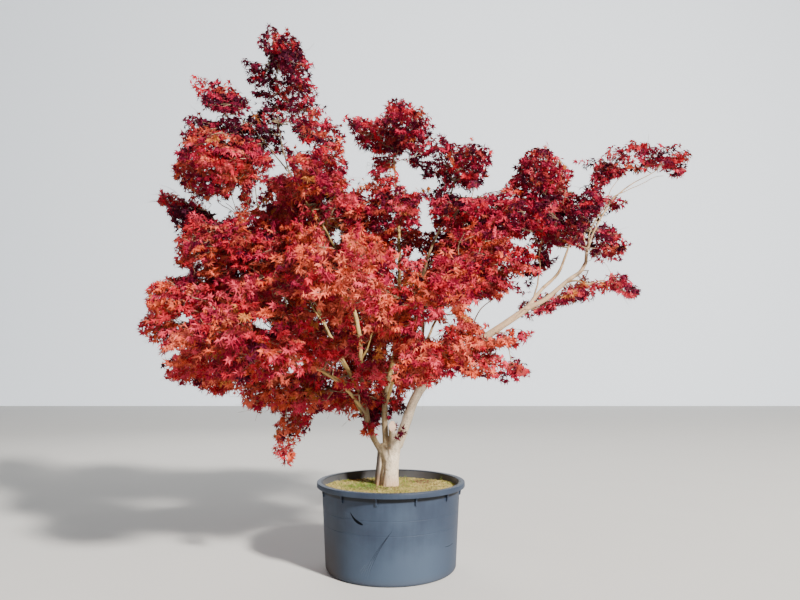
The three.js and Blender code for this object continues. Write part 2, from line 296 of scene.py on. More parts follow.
def turned(profile: list[Span], sides: int) -> Shape:
    """A profile of radius and height turned about the upright axis.

    Args:
        profile: Radii and heights, from end to end.
        sides: Steps of the turn.

    Returns:
        The shape.
    """
    turn = np.linspace(0, FULL_TURN, sides, endpoint=False)
    radius, height = np.array(profile, float).T
    x, y = round_points(radius[:, None], turn)
    rings = np.stack([x, y, np.broadcast_to(height[:, None], x.shape)], -1)
    return Shape(rings.reshape(-1, 3), strip_triangles(len(profile), sides, True))


def arc(centre: Span, radius: float, start: float, end: float, steps: int) -> list[Span]:
    """Points of an arc in a profile, from one angle to another in degrees."""
    angles = np.radians(np.linspace(start, end, steps + 1))
    return [(centre[0] + radius * math.cos(a), centre[1] + radius * math.sin(a)) for a in angles]


def store_grain(mesh: Mesh, grain: Array) -> None:
    """Keeps each point's place in the straightened limb as an attribute."""
    store = mesh.attributes.new(GRAIN, "FLOAT_VECTOR", "POINT")
    store.data.foreach_set("vector", grain.astype(np.float32).ravel())


def make_mesh(name: str, shape: Shape, smooth: bool) -> Mesh:
    """A Blender mesh of a shape, with its grain as an attribute.

    Args:
        name: The mesh's name.
        shape: What it is made from.
        smooth: Whether its faces are shaded as one skin.

    Returns:
        The mesh.
    """
    mesh = bpy.data.meshes.new(name)
    count = len(shape.triangles)
    mesh.vertices.add(len(shape.points))
    mesh.vertices.foreach_set("co", shape.points.astype(np.float32).ravel())
    mesh.loops.add(3 * count)
    mesh.loops.foreach_set("vertex_index", shape.triangles.astype(np.int32).ravel())
    mesh.polygons.add(count)
    mesh.polygons.foreach_set("loop_start", np.arange(0, 3 * count, 3, dtype=np.int32))
    mesh.polygons.foreach_set("material_index", shape.finish_numbers().astype(np.int32))
    mesh.polygons.foreach_set("use_smooth", np.full(count, smooth))
    if shape.grain is not None:
        store_grain(mesh, shape.grain)
    mesh.update(calc_edges=True)
    mesh.validate()
    return mesh


def placed(name: str, data: bpy.types.ID) -> bpy.types.Object:
    """A new object in the scene.

    Args:
        name: The object's name.
        data: Its mesh, lamp or camera.

    Returns:
        The object.
    """
    made = bpy.data.objects.new(name, data)
    bpy.context.scene.collection.objects.link(made)
    return made


def add_piece(
    name: str,
    mesh: Mesh,
    materials: list[Material],
    nodes: list[str],
) -> bpy.types.Object:
    """Puts a piece of the tree in the scene, on its body and in its nodes' place.

    Args:
        name: The piece's name.
        mesh: Its mesh.
        materials: Its finishes, in the order of its finish numbers.
        nodes: The frame's nodes that it stands for.

    Returns:
        The piece.
    """
    piece = placed(name, mesh)
    for material in materials:
        mesh.materials.append(material)
    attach(piece, BODY)
    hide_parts(*nodes)
    log.info("%s: %d faces", name, len(mesh.polygons))
    return piece


class Wire:
    """A number in a material's node tree, with arithmetic that adds Math nodes."""

    def __init__(self, book: "NodeBook", socket: Socket) -> None:
        """Keeps the socket that the number comes from."""
        self.book = book
        self.socket = socket

    def _with(self, operation: str, first: "Number", second: "Number") -> "Wire":
        """The result of one Math node."""
        made = self.book.node("ShaderNodeMath", {"operation": operation}, {0: first, 1: second})
        return Wire(self.book, made.outputs[0])

    def __add__(self, other: "Number") -> "Wire":
        """Sum."""
        return self._with("ADD", self, other)

    __radd__ = __add__

    def __sub__(self, other: "Number") -> "Wire":
        """Difference."""
        return self._with("SUBTRACT", self, other)

    def __rsub__(self, other: "Number") -> "Wire":
        """Difference the other way round."""
        return self._with("SUBTRACT", other, self)

    def __mul__(self, other: "Number") -> "Wire":
        """Product."""
        return self._with("MULTIPLY", self, other)

    __rmul__ = __mul__

    def lowest(self, other: "Number") -> "Wire":
        """The smaller of the two."""
        return self._with("MINIMUM", self, other)

    def scaled(self, base: float, gain: float) -> "Wire":
        """The number times a gain, on a base."""
        return base + self * gain

    def step(self, low: float, high: float) -> "Wire":
        """A soft step from 0 at low to 1 at high."""
        made = self.book.node(
            "ShaderNodeMapRange",
            {"interpolation_type": "SMOOTHSTEP"},
            {"Value": self, "From Min": low, "From Max": high},
        )
        return Wire(self.book, made.outputs["Result"])


Number = Wire | float


@dataclass(frozen=True)
class Mottle:
    """A cloudy noise: its waves per metre, its finer layers and how harsh they are."""

    waves: float
    layers: float
    harshness: float = 0.5


@dataclass(frozen=True)
class Patches:
    """Patches of a second colour: their noise, the soft step that bounds them and their cover."""

    noise: Mottle
    edge: Span
    cover: float


class NodeBook:
    """The node tree of one material."""

    MIX_FACTOR = 0
    MIX_COLOURS = (6, 7)
    MIX_RESULT = 2

    def __init__(self, name: str) -> None:
        """Starts an empty material.

        Args:
            name: Its name.
        """
        self.material = bpy.data.materials.new(name)
        self.material.use_nodes = True
        self.tree = self.material.node_tree
        self.tree.nodes.clear()

    def node(self, kind: str, settings: dict | None = None, sockets: dict | None = None) -> bpy.types.Node:
        """Adds a node.

        Args:
            kind: The node's type.
            settings: Its properties, or a ramp's stops, which are set first.
            sockets: Values or links of its inputs, by name or number.

        Returns:
            The node.
        """
        made = self.tree.nodes.new(kind)
        for key, value in (settings or {}).items():
            if key == "stops":
                self._set_stops(made.color_ramp, value)
            else:
                setattr(made, key, value)
        for key, value in (sockets or {}).items():
            source = value.socket if isinstance(value, Wire) else value
            if isinstance(source, Socket):
                self.tree.links.new(source, made.inputs[key])
            else:
                made.inputs[key].default_value = source
        return made

    @staticmethod
    def _set_stops(ramp: bpy.types.ColorRamp, stops: tuple[tuple[float, Colour], ...]) -> None:
        """Gives a ramp its stops, each a place and a colour.

        Args:
            ramp: The ramp, with two stops.
            stops: Its new stops.
        """
        while len(ramp.elements) < len(stops):
            ramp.elements.new(stops[-1][0])
        for element, (place, colour) in zip(ramp.elements, stops):
            element.position = place
            element.color = (*colour, 1.0)

    def place(self) -> Socket:
        """The place on the object, in metres."""
        return self.node("ShaderNodeTexCoord").outputs["Object"]

    def grain(self) -> Socket:
        """The place in the straightened limb, in metres."""
        return self.node("ShaderNodeAttribute", {"attribute_name": GRAIN}).outputs["Vector"]

    def stretched(self, vector: Socket, factors: Point) -> Socket:
        """A place multiplied axis by axis."""
        made = self.node("ShaderNodeVectorMath", {"operation": "MULTIPLY"}, {0: vector, 1: factors})
        return made.outputs["Vector"]

    def axes(self, vector: Socket) -> tuple[Wire, Wire, Wire]:
        """The three numbers of a place."""
        made = self.node("ShaderNodeSeparateXYZ", None, {"Vector": vector})
        return tuple(Wire(self, output) for output in made.outputs)

    def mottle(self, vector: Socket, look: Mottle) -> Wire:
        """Cloudy noise from 0 to 1."""
        sockets = {"Vector": vector, "Scale": look.waves, "Detail": look.layers, "Roughness": look.harshness}
        return Wire(self, self.node("ShaderNodeTexNoise", None, sockets).outputs[0])

    def patched(self, vector: Socket, look: Patches) -> Wire:
        """How much patches cover, from 0 to their full cover."""
        return self.mottle(vector, look.noise).step(*look.edge) * look.cover

    def cells(self, vector: Socket, scale: float) -> Wire:
        """Distance to the middle of the nearest cell."""
        made = self.node("ShaderNodeTexVoronoi", None, {"Vector": vector, "Scale": scale})
        return Wire(self, made.outputs["Distance"])

    def mixed(self, factor: Number, *colours: object) -> Socket:
        """Two colours, plain or linked, mixed by a factor.

        Args:
            factor: The second colour's share.
            *colours: The two colours.

        Returns:
            The mixture.
        """
        sockets = {self.MIX_FACTOR: factor}
        for key, colour in zip(self.MIX_COLOURS, colours):
            sockets[key] = (*colour, 1.0) if isinstance(colour, tuple) else colour
        return self.node("ShaderNodeMix", {"data_type": "RGBA"}, sockets).outputs[self.MIX_RESULT]

    def ramp(self, factor: Wire, stops: tuple[tuple[float, Colour], ...]) -> Socket:
        """A colour read off a ramp."""
        return self.node("ShaderNodeValToRGB", {"stops": stops}, {"Fac": factor}).outputs["Color"]

    def relief(self, height: Wire, depth: float, strength: float) -> Socket:
        """A surface direction bumped by a height; depth is the height's full size in metres."""
        sockets = {"Height": height, "Distance": depth, "Strength": strength}
        return self.node("ShaderNodeBump", None, sockets).outputs["Normal"]

    def finished(self, **sockets: object) -> Material:
        """Ends the material in a Principled shader with these sockets.

        Args:
            **sockets: The shader's inputs, with _ for each space.

        Returns:
            The finish.
        """
        named = {key.replace("_", " "): value for key, value in sockets.items()}
        shader = self.node("ShaderNodeBsdfPrincipled", None, named)
        output = self.node("ShaderNodeOutputMaterial")
        self.tree.links.new(shader.outputs[0], output.inputs["Surface"])
        return self.material


@dataclass(frozen=True)
class TubPlastic:
    """Slate-coloured moulded plastic, weathered, with dust and rain marks, and with light and
    shade painted into its colour: a painted pool of light low on the front, painted shade on
    the right side and on the low far left, a painted shadow under the lip, and painted light
    on the inner wall along with its silt.

    A height or side is the span over which something fades in or out, in metres, and a
    reach is a squared distance from the axis. The silt covers a base share, and more
    where the clouds are thick.
    """

    fresh: Colour = (0.020, 0.031, 0.056)
    # The paler colour, for real fading and for the painted light low on the front.
    faded_and_lit: Colour = (0.050, 0.075, 0.118)
    rain_marks: Mottle = Mottle(26, 4, 0.6)
    rain_drawn: Point = (1, 1, 0.12)
    rain_share: float = 0.22
    clouds: Mottle = Mottle(3.2, 4, 0.55)
    cloud_share: float = 0.85
    # Painted light: a pool of light low on the front of the wall, laid on as extra fading.
    painted_light_height: Span = (0.05, 0.40)
    painted_light_side: Span = (-0.44, -0.24)
    painted_light_share: float = 0.45
    fading_and_light_edge: Span = (0.30, 0.95)
    # Painted shade: the right side keeps less of the paler colour.
    shade_side: Span = (0.22, 0.55)
    shade_share: float = 0.75
    # Dust and painted shade: this dark brown darkens the low far left of the wall, where shade falls, and is
    # also the dust round the foot and in specks.
    dust_and_shade: Colour = (0.056, 0.042, 0.037)
    dust_and_shade_height: Span = (0.0, 0.50)
    dust_and_shade_side: Span = (-0.47, -0.33)
    dust_and_shade_base: float = 0.35
    splash_height: Span = (0.0, 0.07)
    splash_share: float = 0.25
    specks: Patches = Patches(Mottle(90, 3, 0.7), (0.62, 0.8), 0.08)
    most_dust_and_shade: float = 0.9
    # Silt and painted light: the paler inner wall also stands for light falling into the tub.
    silt_and_light: Colour = (0.120, 0.112, 0.105)
    silt_and_light_height: Span = (0.55, 0.58)
    silt_and_light_cover: Span = (0.35, 0.6)
    shadow: Colour = (0.004, 0.006, 0.010)
    shadow_height: Span = (0.592, 0.606)
    shadow_share: float = 0.9
    wall_reach: Span = (0.320, 0.328)
    inner_reach: Span = (0.3043, 0.3057)
    grain: Mottle = Mottle(420, 2)
    relief_share: float = 0.5
    relief: Span = (0.0005, 0.6)
    roughness: float = 0.50
    faded_roughness: float = 0.14
    dusty_roughness: float = 0.2
    sheen: float = 0.35

    def material(self) -> Material:
        """Builds the node tree.

        Returns:
            The finish.
        """
        book = NodeBook("tub_plastic")
        place = book.place()
        across, far, height = book.axes(place)
        streaks = book.mottle(book.stretched(place, self.rain_drawn), self.rain_marks)
        clouds = book.mottle(place, self.clouds)
        # Painted light low on the front and painted shade on the right side, mixed with the real fading from
        # rain and clouds.
        light = (1 - height.step(*self.painted_light_height)) * across.step(*self.painted_light_side)
        fading_and_painted_light = streaks * self.rain_share + clouds * self.cloud_share + light * self.painted_light_share
        fading_and_painted_light = fading_and_painted_light.step(*self.fading_and_light_edge) * (1 - across.step(*self.shade_side) * self.shade_share)
        colour = book.mixed(fading_and_painted_light, self.fresh, self.faded_and_lit)
        # Painted shade on the low far left of the wall, with dust round the foot and in specks.
        low = (1 - height.step(*self.dust_and_shade_height)) * (1 - across.step(*self.dust_and_shade_side))
        splashed = (1 - height.step(*self.splash_height)) * self.splash_share
        dusted_and_shaded = low * (self.dust_and_shade_base + clouds) + splashed + book.patched(place, self.specks)
        dusted_and_shaded = dusted_and_shaded.lowest(self.most_dust_and_shade)
        colour = book.mixed(dusted_and_shaded, colour, self.dust_and_shade)
        reach = across * across + far * far
        # Silt and painted light on the inner wall above the soil.
        inner = (1 - reach.step(*self.inner_reach)) * height.step(*self.silt_and_light_height)
        colour = book.mixed(inner * clouds.scaled(*self.silt_and_light_cover), colour, self.silt_and_light)
        under_lip = height.step(*self.shadow_height) * (1 - reach.step(*self.wall_reach))
        under_lip = under_lip * reach.step(*self.inner_reach)
        colour = book.mixed(under_lip * self.shadow_share, colour, self.shadow)
        uneven = book.mottle(place, self.grain) * self.relief_share + streaks * self.relief_share
        return book.finished(
            Base_Color=colour,
            Roughness=fading_and_painted_light.scaled(self.roughness, self.faded_roughness) + dusted_and_shaded * self.dusty_roughness,
            Specular_IOR_Level=self.sheen,
            Normal=book.relief(uneven, *self.relief),
        )


@dataclass(frozen=True)
class PlainPlastic:
    """Plastic of one colour for a cut, a scratch or a scuff, with a fine grain."""

    name: str
    colour: Colour
    roughness: float
    sheen: float
    darkening: float = 0.7
    grain: Mottle = Mottle(300, 2, 0.6)
    grain_edge: Span = (0.3, 0.7)
    relief: Span = (0.0003, 0.5)

    def material(self) -> Material:
        """Builds the node tree.

        Returns:
            The finish.
        """
        book = NodeBook(self.name)
        grain = book.mottle(book.place(), self.grain)
        darker = tuple(c * self.darkening for c in self.colour)
        return book.finished(
            Base_Color=book.mixed(grain.step(*self.grain_edge), darker, self.colour),
            Roughness=self.roughness,
            Specular_IOR_Level=self.sheen,
            Normal=book.relief(grain, *self.relief),
        )


@dataclass(frozen=True)
class MossySoil:
    """Moist soil under straw-coloured moss and low weeds."""

    earth: Colour = (0.095, 0.062, 0.036)
    straw: Colour = (0.46, 0.35, 0.105)
    moss: Colour = (0.29, 0.26, 0.050)
    green: Colour = (0.13, 0.20, 0.025)
    stops: Point = (0.30, 0.52, 0.70)
    patches: Mottle = Mottle(7, 4, 0.6)
    crumbs: Mottle = Mottle(130, 4, 0.75)
    crumb_edge: Span = (0.40, 0.54)
    bare_cover: float = 0.95
    tufts: Mottle = Mottle(45, 3, 0.6)
    crumb_height: float = 0.6
    relief: Span = (0.008, 0.9)
    roughness: float = 0.95

    def material(self) -> Material:
        """Builds the node tree.

        Returns:
            The finish.
        """
        book = NodeBook("mossy_soil")
        place = book.place()
        patches = book.mottle(place, self.patches)
        crumbs = book.mottle(place, self.crumbs)
        cover = book.ramp(patches, tuple(zip(self.stops, (self.straw, self.moss, self.green))))
        bare = (1 - crumbs.step(*self.crumb_edge)) * self.bare_cover
        uneven = crumbs * self.crumb_height + book.mottle(place, self.tufts)
        return book.finished(
            Base_Color=book.mixed(bare, cover, self.earth),
            Roughness=self.roughness,
            Normal=book.relief(uneven, *self.relief),
        )


@dataclass(frozen=True)
class Tuft:
    """Blades of moss or low weed, of a colour that drifts from place to place."""

    name: str
    dry: Colour
    fresh: Colour
    patches: Mottle = Mottle(11, 3, 0.6)
    patch_share: float = 0.6
    blades: Mottle = Mottle(160, 2)
    blade_share: float = 0.5
    edge: Span = (0.38, 0.72)
    roughness: float = 0.8

    def material(self) -> Material:
        """Builds the node tree.

        Returns:
            The finish.
        """
        book = NodeBook(self.name)
        place = book.place()
        drift = book.mottle(place, self.patches) * self.patch_share
        drift = drift + book.mottle(place, self.blades) * self.blade_share
        return book.finished(
            Base_Color=book.mixed(drift.step(*self.edge), self.dry, self.fresh), Roughness=self.roughness
        )


@dataclass(frozen=True)
class MapleBark:
    """Smooth maple bark with streaks along the limb, grey lichen and pores.

    The bark changes from the foot up. A height or side is the span over which a colour
    fades in or out. A cover of two numbers is a base and what the tone, streaks or
    clouds add to it. The dark grey-brown low on the slim left stem is painted shade,
    where the thick stem's shadow falls.
    """

    name: str
    pale: Colour
    shade: Colour
    olive: Colour
    young: Colour
    streaks: Mottle = Mottle(95, 4, 0.6)
    streaks_drawn: Point = (1, 1, 0.16)
    streak_share: float = 0.55
    clouds: Mottle = Mottle(13, 4, 0.6)
    cloud_share: float = 0.6
    tone_edge: Span = (0.36, 0.78)
    olive_height: Span = (0.78, 0.97)
    olive_side: Span = (-0.18, -0.12)
    olive_lean: float = 0.15
    olive_cover: Span = (0.75, 0.2)
    # Painted shade: the slim left stem's foot darkened where the thick stem shades it.
    old: Colour = (0.11, 0.088, 0.085)
    painted_stem_shade_height: Span = (0.84, 0.95)
    painted_stem_shade_side: Span = (-0.100, -0.086)
    painted_stem_shade_cover: Span = (0.80, 0.25)
    tan: Colour = (0.50, 0.315, 0.165)
    gold: Colour = (0.50, 0.33, 0.105)
    tan_height: Span = (1.30, 1.75)
    tan_cover: Span = (0.62, 0.30)
    young_height: Span = (2.9, 3.4)
    young_side: Span = (0.5, 1.0)
    young_cover: float = 0.9
    lichen: Colour = (0.36, 0.36, 0.31)
    lichen_spots: Patches = Patches(Mottle(42, 3, 0.65), (0.58, 0.68), 0.6)
    pore: Colour = (0.085, 0.060, 0.042)
    specks: Patches = Patches(Mottle(85, 2, 0.6), (0.57, 0.66), 0.40)
    pore_rows: float = 62
    pores_drawn: Point = (1, 1, 1.6)
    pore_edge: Span = (0.12, 0.26)
    pore_cover: float = 0.55
    foot: Colour = (0.50, 0.27, 0.12)
    foot_height: Span = (0.60, 0.74)
    foot_cover: Span = (0.30, 0.7)
    furrows: Mottle = Mottle(55, 5, 0.65)
    furrows_drawn: Point = (1, 1, 0.22)
    streak_height: float = 0.5
    pore_depth: float = 0.3
    relief: Span = (0.0030, 0.9)
    roughness: Span = (0.78, 0.14)

    def material(self) -> Material:
        """Builds the node tree.

        Returns:
            The finish.
        """
        book = NodeBook(self.name)
        grain, place = book.grain(), book.place()
        across, _, height = book.axes(place)
        streaks = book.mottle(book.stretched(grain, self.streaks_drawn), self.streaks)
        clouds = book.mottle(place, self.clouds)
        tone = (streaks * self.streak_share + clouds * self.cloud_share).step(*self.tone_edge)
        colour = book.mixed(tone, self.shade, self.pale)
        left = 1 - (across - height * self.olive_lean).step(*self.olive_side)
        olive = height.step(*self.olive_height) * left
        colour = book.mixed(olive * tone.scaled(*self.olive_cover), colour, self.olive)
        # Painted shade on the slim left stem, below the fork.
        old = (1 - height.step(*self.painted_stem_shade_height)) * (1 - across.step(*self.painted_stem_shade_side))
        colour = book.mixed(old * streaks.scaled(*self.painted_stem_shade_cover).lowest(1.0), colour, self.old)
        aloft = height.step(*self.tan_height) * tone.scaled(*self.tan_cover)
        colour = book.mixed(aloft, colour, book.mixed(olive, self.tan, self.gold))
        young = height.step(*self.young_height) * (1 - across.step(*self.young_side))
        colour = book.mixed(young * self.young_cover, colour, self.young)
        colour = book.mixed(book.patched(place, self.lichen_spots), colour, self.lichen)
        colour = book.mixed(book.patched(place, self.specks), colour, self.pore)
        cells = book.cells(book.stretched(grain, self.pores_drawn), self.pore_rows)
        pores = 1 - cells.step(*self.pore_edge)
        colour = book.mixed(pores * self.pore_cover, colour, self.pore)
        rise = 1 - height.step(*self.foot_height)
        colour = book.mixed(rise * clouds.scaled(*self.foot_cover), colour, self.foot)
        furrows = book.mottle(book.stretched(grain, self.furrows_drawn), self.furrows)
        uneven = furrows + streaks * self.streak_height - pores * self.pore_depth
        return book.finished(
            Base_Color=colour,
            Roughness=tone.scaled(*self.roughness),
            Normal=book.relief(uneven, *self.relief),
        )


@dataclass(frozen=True)
class CutWood:
    """The pale sawn end of a stem, with its year rings."""

    pale: Colour = (0.80, 0.58, 0.43)
    ring: Colour = (0.64, 0.42, 0.30)
    wander: Mottle = Mottle(60, 2)
    wander_depth: float = 0.004
    ring_turns: float = 2100
    ring_share: float = 0.25
    fibres: Mottle = Mottle(420, 3, 0.7)
    fibre_share: float = 0.6
    edge: Span = (0.1, 0.6)
    relief: Span = (0.0006, 0.6)
    roughness: float = 0.85

    def material(self) -> Material:
        """Builds the node tree.

        Returns:
            The finish.
        """
        book = NodeBook("cut_wood")
        grain = book.grain()
        length = book.node("ShaderNodeVectorMath", {"operation": "LENGTH"}, {0: grain})
        radius = Wire(book, length.outputs["Value"]) + book.mottle(grain, self.wander) * self.wander_depth
        wave = book.node("ShaderNodeMath", {"operation": "SINE"}, {0: radius * self.ring_turns})
        tone = Wire(book, wave.outputs[0]) * self.ring_share
        tone = tone + book.mottle(book.place(), self.fibres) * self.fibre_share
        return book.finished(
            Base_Color=book.mixed(tone.step(*self.edge), self.ring, self.pale),
            Roughness=self.roughness,
            Normal=book.relief(tone, *self.relief),
        )


@dataclass(frozen=True)
class TwigBark:
    """Thin young bark, olive to reddish, drifting from place to place."""

    name: str
    pale: Colour
    dark: Colour
    drift: Mottle = Mottle(6, 3, 0.6)
    drift_share: float = 0.7
    fine: Mottle = Mottle(120, 2)
    fine_share: float = 0.4
    edge: Span = (0.35, 0.75)
    roughness: float = 0.7

    def material(self) -> Material:
        """Builds the node tree.

        Returns:
            The finish.
        """
        book = NodeBook(self.name)
        drift = book.mottle(book.place(), self.drift) * self.drift_share
        drift = drift + book.mottle(book.grain(), self.fine) * self.fine_share
        return book.finished(
            Base_Color=book.mixed(drift.step(*self.edge), self.dark, self.pale), Roughness=self.roughness
        )


class LeafTint(Enum):
    """The autumn tints, each a plain base colour."""

    MAROON = (0.052, 0.0028, 0.0150)
    WINE = (0.112, 0.0048, 0.0245)
    CRIMSON = (0.240, 0.0085, 0.0335)
    SCARLET = (0.480, 0.0185, 0.0335)
    CHERRY = (0.410, 0.0150, 0.0485)
    ROSE = (0.600, 0.0530, 0.0860)
    BRICK = (0.300, 0.0290, 0.0310)
    RUSSET = (0.370, 0.0540, 0.0350)
    FLAME = (0.610, 0.0930, 0.0450)
    OCHRE = (0.520, 0.1750, 0.0500)
    CORAL = (0.730, 0.1500, 0.0900)

    def brightness(self, green_weight: float = 2.2) -> float:
        """How bright the tint looks, which is more its green than its red."""
        return self.value[0] + green_weight * self.value[1]

    def material(self, roughness: float = 0.66, sheen: float = 0.12) -> Material:
        """A plain leaf finish of this tint."""
        book = NodeBook("leaf_" + self.name.lower())
        return book.finished(Base_Color=(*self.value, 1.0), Roughness=roughness, Specular_IOR_Level=sheen)


class Palette(Enum):
    """How often each tint comes in a part of the crown, in LeafTint's order.

    Besides the leaves' own tints, the dusky palette is painted shade where shade falls on
    the crown, and the fiery palette, richest in the pale coral tint, is painted sunlight on
    its low front.
    """

    DUSKY = (12, 9, 5, 0.8, 1.6, 0.8, 1, 0.3, 0.1, 0, 0)
    DEEP = (7, 7, 6, 2.0, 3.5, 1.5, 2, 0.6, 0.2, 0, 0)
    CRIMSONED = (3, 5, 6, 3, 5, 3, 2.5, 1.2, 0.4, 0, 0)
    BRICKED = (1, 2, 5, 5, 3, 3, 5, 3.5, 3, 0.4, 1.2)
    ROSY = (0.6, 1.2, 3, 7, 5, 7, 3, 3, 5, 0.2, 3.5)
    FIERY = (0.3, 0.8, 2, 6, 4, 7, 2.5, 5, 9, 0.5, 9)

    def shares(self) -> Array:
        """Each tint's share of the leaves."""
        weights = np.array(self.value, float)
        return weights / weights.sum()


@dataclass
class Viewpoint:
    """The camera of the photograph, in metres and degrees, and its frame in pixels."""

    place: Point = (0.0736, -5.06, 1.505)
    pitch: float = 7.30
    lens: float = 27.05
    sensor: float = 36.0
    frame: tuple[int, int] = (800, 600)

    def __post_init__(self) -> None:
        """Works out the focal length in pixels and the middle of the frame."""
        self.focal = self.lens / self.sensor * self.frame[0]
        self.middle = (self.frame[0] / 2, self.frame[1] / 2)

    def build(self) -> None:
        """Adds the camera."""
        data = bpy.data.cameras.new("camera")
        data.lens = self.lens
        data.sensor_width = self.sensor
        camera = placed("camera", data)
        camera.location = self.place
        camera.rotation_euler = Euler((math.radians(QUARTER_TURN + self.pitch), 0, 0))
        bpy.context.scene.camera = camera

    def pixels(self, points: Array) -> Array:
        """Where points show in the photograph's frame.

        Args:
            points: Points as rows.

        Returns:
            Pixels across and down as rows.
        """
        pitch = math.radians(self.pitch)
        across, far, up = (points - np.array(self.place)).T
        depth = far * math.cos(pitch) + up * math.sin(pitch)
        rise = up * math.cos(pitch) - far * math.sin(pitch)
        x = self.middle[0] + self.focal * across / depth
        return np.stack([x, self.middle[1] - self.focal * rise / depth], 1)

    def point_at(self, pixel: Pixel, distance: float) -> Array:
        """The point behind a pixel, at a distance behind the tub's axis.

        Args:
            pixel: Pixels across and down.
            distance: The distance.

        Returns:
            The point.
        """
        pitch = math.radians(self.pitch)
        far = distance - self.place[1]
        slope = (self.middle[1] - pixel[1]) / self.focal
        up = far * (math.sin(pitch) + slope * math.cos(pitch)) / (math.cos(pitch) - slope * math.sin(pitch))
        depth = far * math.cos(pitch) + up * math.sin(pitch)
        across = (pixel[0] - self.middle[0]) * depth / self.focal
        return np.array((self.place[0] + across, distance, self.place[2] + up))


@dataclass(frozen=True)
class Lamp:
    """A square soft lamp that looks at the crown's middle."""

    name: str
    place: Point
    size: float
    power: float
    colour: Colour

    def build(self) -> None:
        """Adds the lamp."""
        data = bpy.data.lights.new(self.name, "AREA")
        data.size = self.size
        data.energy = self.power
        data.color = self.colour
        lamp = placed(self.name, data)
        lamp.location = self.place
        facing = Vector(CROWN_MIDDLE) - Vector(self.place)
        lamp.rotation_euler = facing.to_track_quat("-Z", "Y").to_euler()


@dataclass
class Studio:
    """A pale floor and backdrop in soft light."""

    floor_size: float = 60.0
    floor_colour: Colour = (0.62, 0.61, 0.59)
    floor_darker: float = 0.96
    floor_mottle: Mottle = Mottle(1.5, 3)
    floor_roughness: float = 0.9
    air: Colour = (0.86, 0.92, 1.0)
    air_strength: float = 0.13
    backdrop_distance: float = 27.0
    backdrop_size: Span = (56.0, 27.0)
    backdrop_glow: float = 0.50
    lamps: tuple[Lamp, ...] = (
        Lamp("key", (21.0, -22.5, 20.5), 3.2, 42000, (1.0, 0.955, 0.89)),
        Lamp("fill", (-8.5, -6.5, 5.0), 6.0, 130, (0.90, 0.95, 1.0)),
        Lamp("back", (-4.0, 9.5, 8.0), 6.0, 420, (1.0, 0.97, 0.93)),
    )

    def build(self) -> None:
        """Adds the floor, the pale surroundings and the lamps."""
        half = self.floor_size / 2
        book = NodeBook("pale_floor")
        darker = tuple(c * self.floor_darker for c in self.floor_colour)
        colour = book.mixed(book.mottle(book.place(), self.floor_mottle), darker, self.floor_colour)
        floor = book.finished(Base_Color=colour, Roughness=self.floor_roughness)
        self._sheet("floor", [(-half, -half, 0), (half, -half, 0), (half, half, 0), (-half, half, 0)], floor)
        half, far, top = self.backdrop_size[0] / 2, self.backdrop_distance, self.backdrop_size[1]
        pale = (*self.air, 1.0)
        screen = NodeBook("pale_screen").finished(
            Base_Color=pale, Roughness=1.0, Emission_Color=pale, Emission_Strength=self.backdrop_glow
        )
        corners = [(-half, far, 0), (half, far, 0), (half, far, top), (-half, far, top)]
        self._sheet("backdrop", corners, screen)
        world = bpy.data.worlds.new("studio_air")
        world.use_nodes = True
        background = world.node_tree.nodes["Background"]
        background.inputs["Color"].default_value = pale
        background.inputs["Strength"].default_value = self.air_strength
        bpy.context.scene.world = world
        for lamp in self.lamps:
            lamp.build()

    @staticmethod
    def _sheet(name: str, corners: list[Point], finish: Material) -> None:
        """Adds a flat four-cornered part of the studio, which isn't part of the tree.

        Args:
            name: Its name.
            corners: Its corners, in order round it.
            finish: Its finish.
        """
        mesh = make_mesh(name, Shape(np.array(corners), np.array([(0, 1, 2), (0, 2, 3)])), False)
        mesh.materials.append(finish)
        sheet = placed(name, mesh)


@dataclass(frozen=True)
class Scratches:
    """Thin tapering marks side by side on the tub's wall, such as cuts or scuffs.

    A place on the wall is an angle in degrees and a height. Each further mark lies
    aside of the one before, point by point, and is slimmer.
    """

    line: tuple[Span, ...]
    width: float
    proud: float = 0.0003
    aside: tuple[Span, ...] = ((0.0, 0.0),)
    slimming: float = 0.0
    count: int = 1

    def marks(self) -> list[tuple[Array, float]]:
        """The middle line and the width of each mark."""
        line, aside = np.array(self.line), np.array(self.aside)
        return [(line + number * aside, self.width - self.slimming * number) for number in range(self.count)]


# The cuts are real damage. Their near-black finish is painted shade, the dark inside of the gash and of the
# cut lines, on marks that stand a little proud of the wall.
CUTS = (
    Scratches(((-122.0, 0.513), (-119.8, 0.484), (-116.8, 0.459), (-111.0, 0.436)), 0.023, 0.0010),
    Scratches(((-40.1, 0.238), (-33.0, 0.233), (-25.7, 0.238)), 0.0035),
    Scratches(((-88.0, 0.404), (-98.2, 0.262), (-106.8, 0.090)), 0.0042,
              aside=((-1.0, -0.010), (-0.8, 0.0), (-1.5, 0.012)), slimming=0.0008, count=3),
)
SCUFFS = (
    Scratches(((-126.9, 0.508), (-126.4, 0.441)), 0.007, 0.0004),
    Scratches(((-124.6, 0.512), (-124.2, 0.470)), 0.004, 0.0004),
    Scratches(((-103.0, 0.200), (-108.0, 0.060)), 0.0030, aside=((-1.6, -0.010), (-1.7, 0.010)), count=5),
)


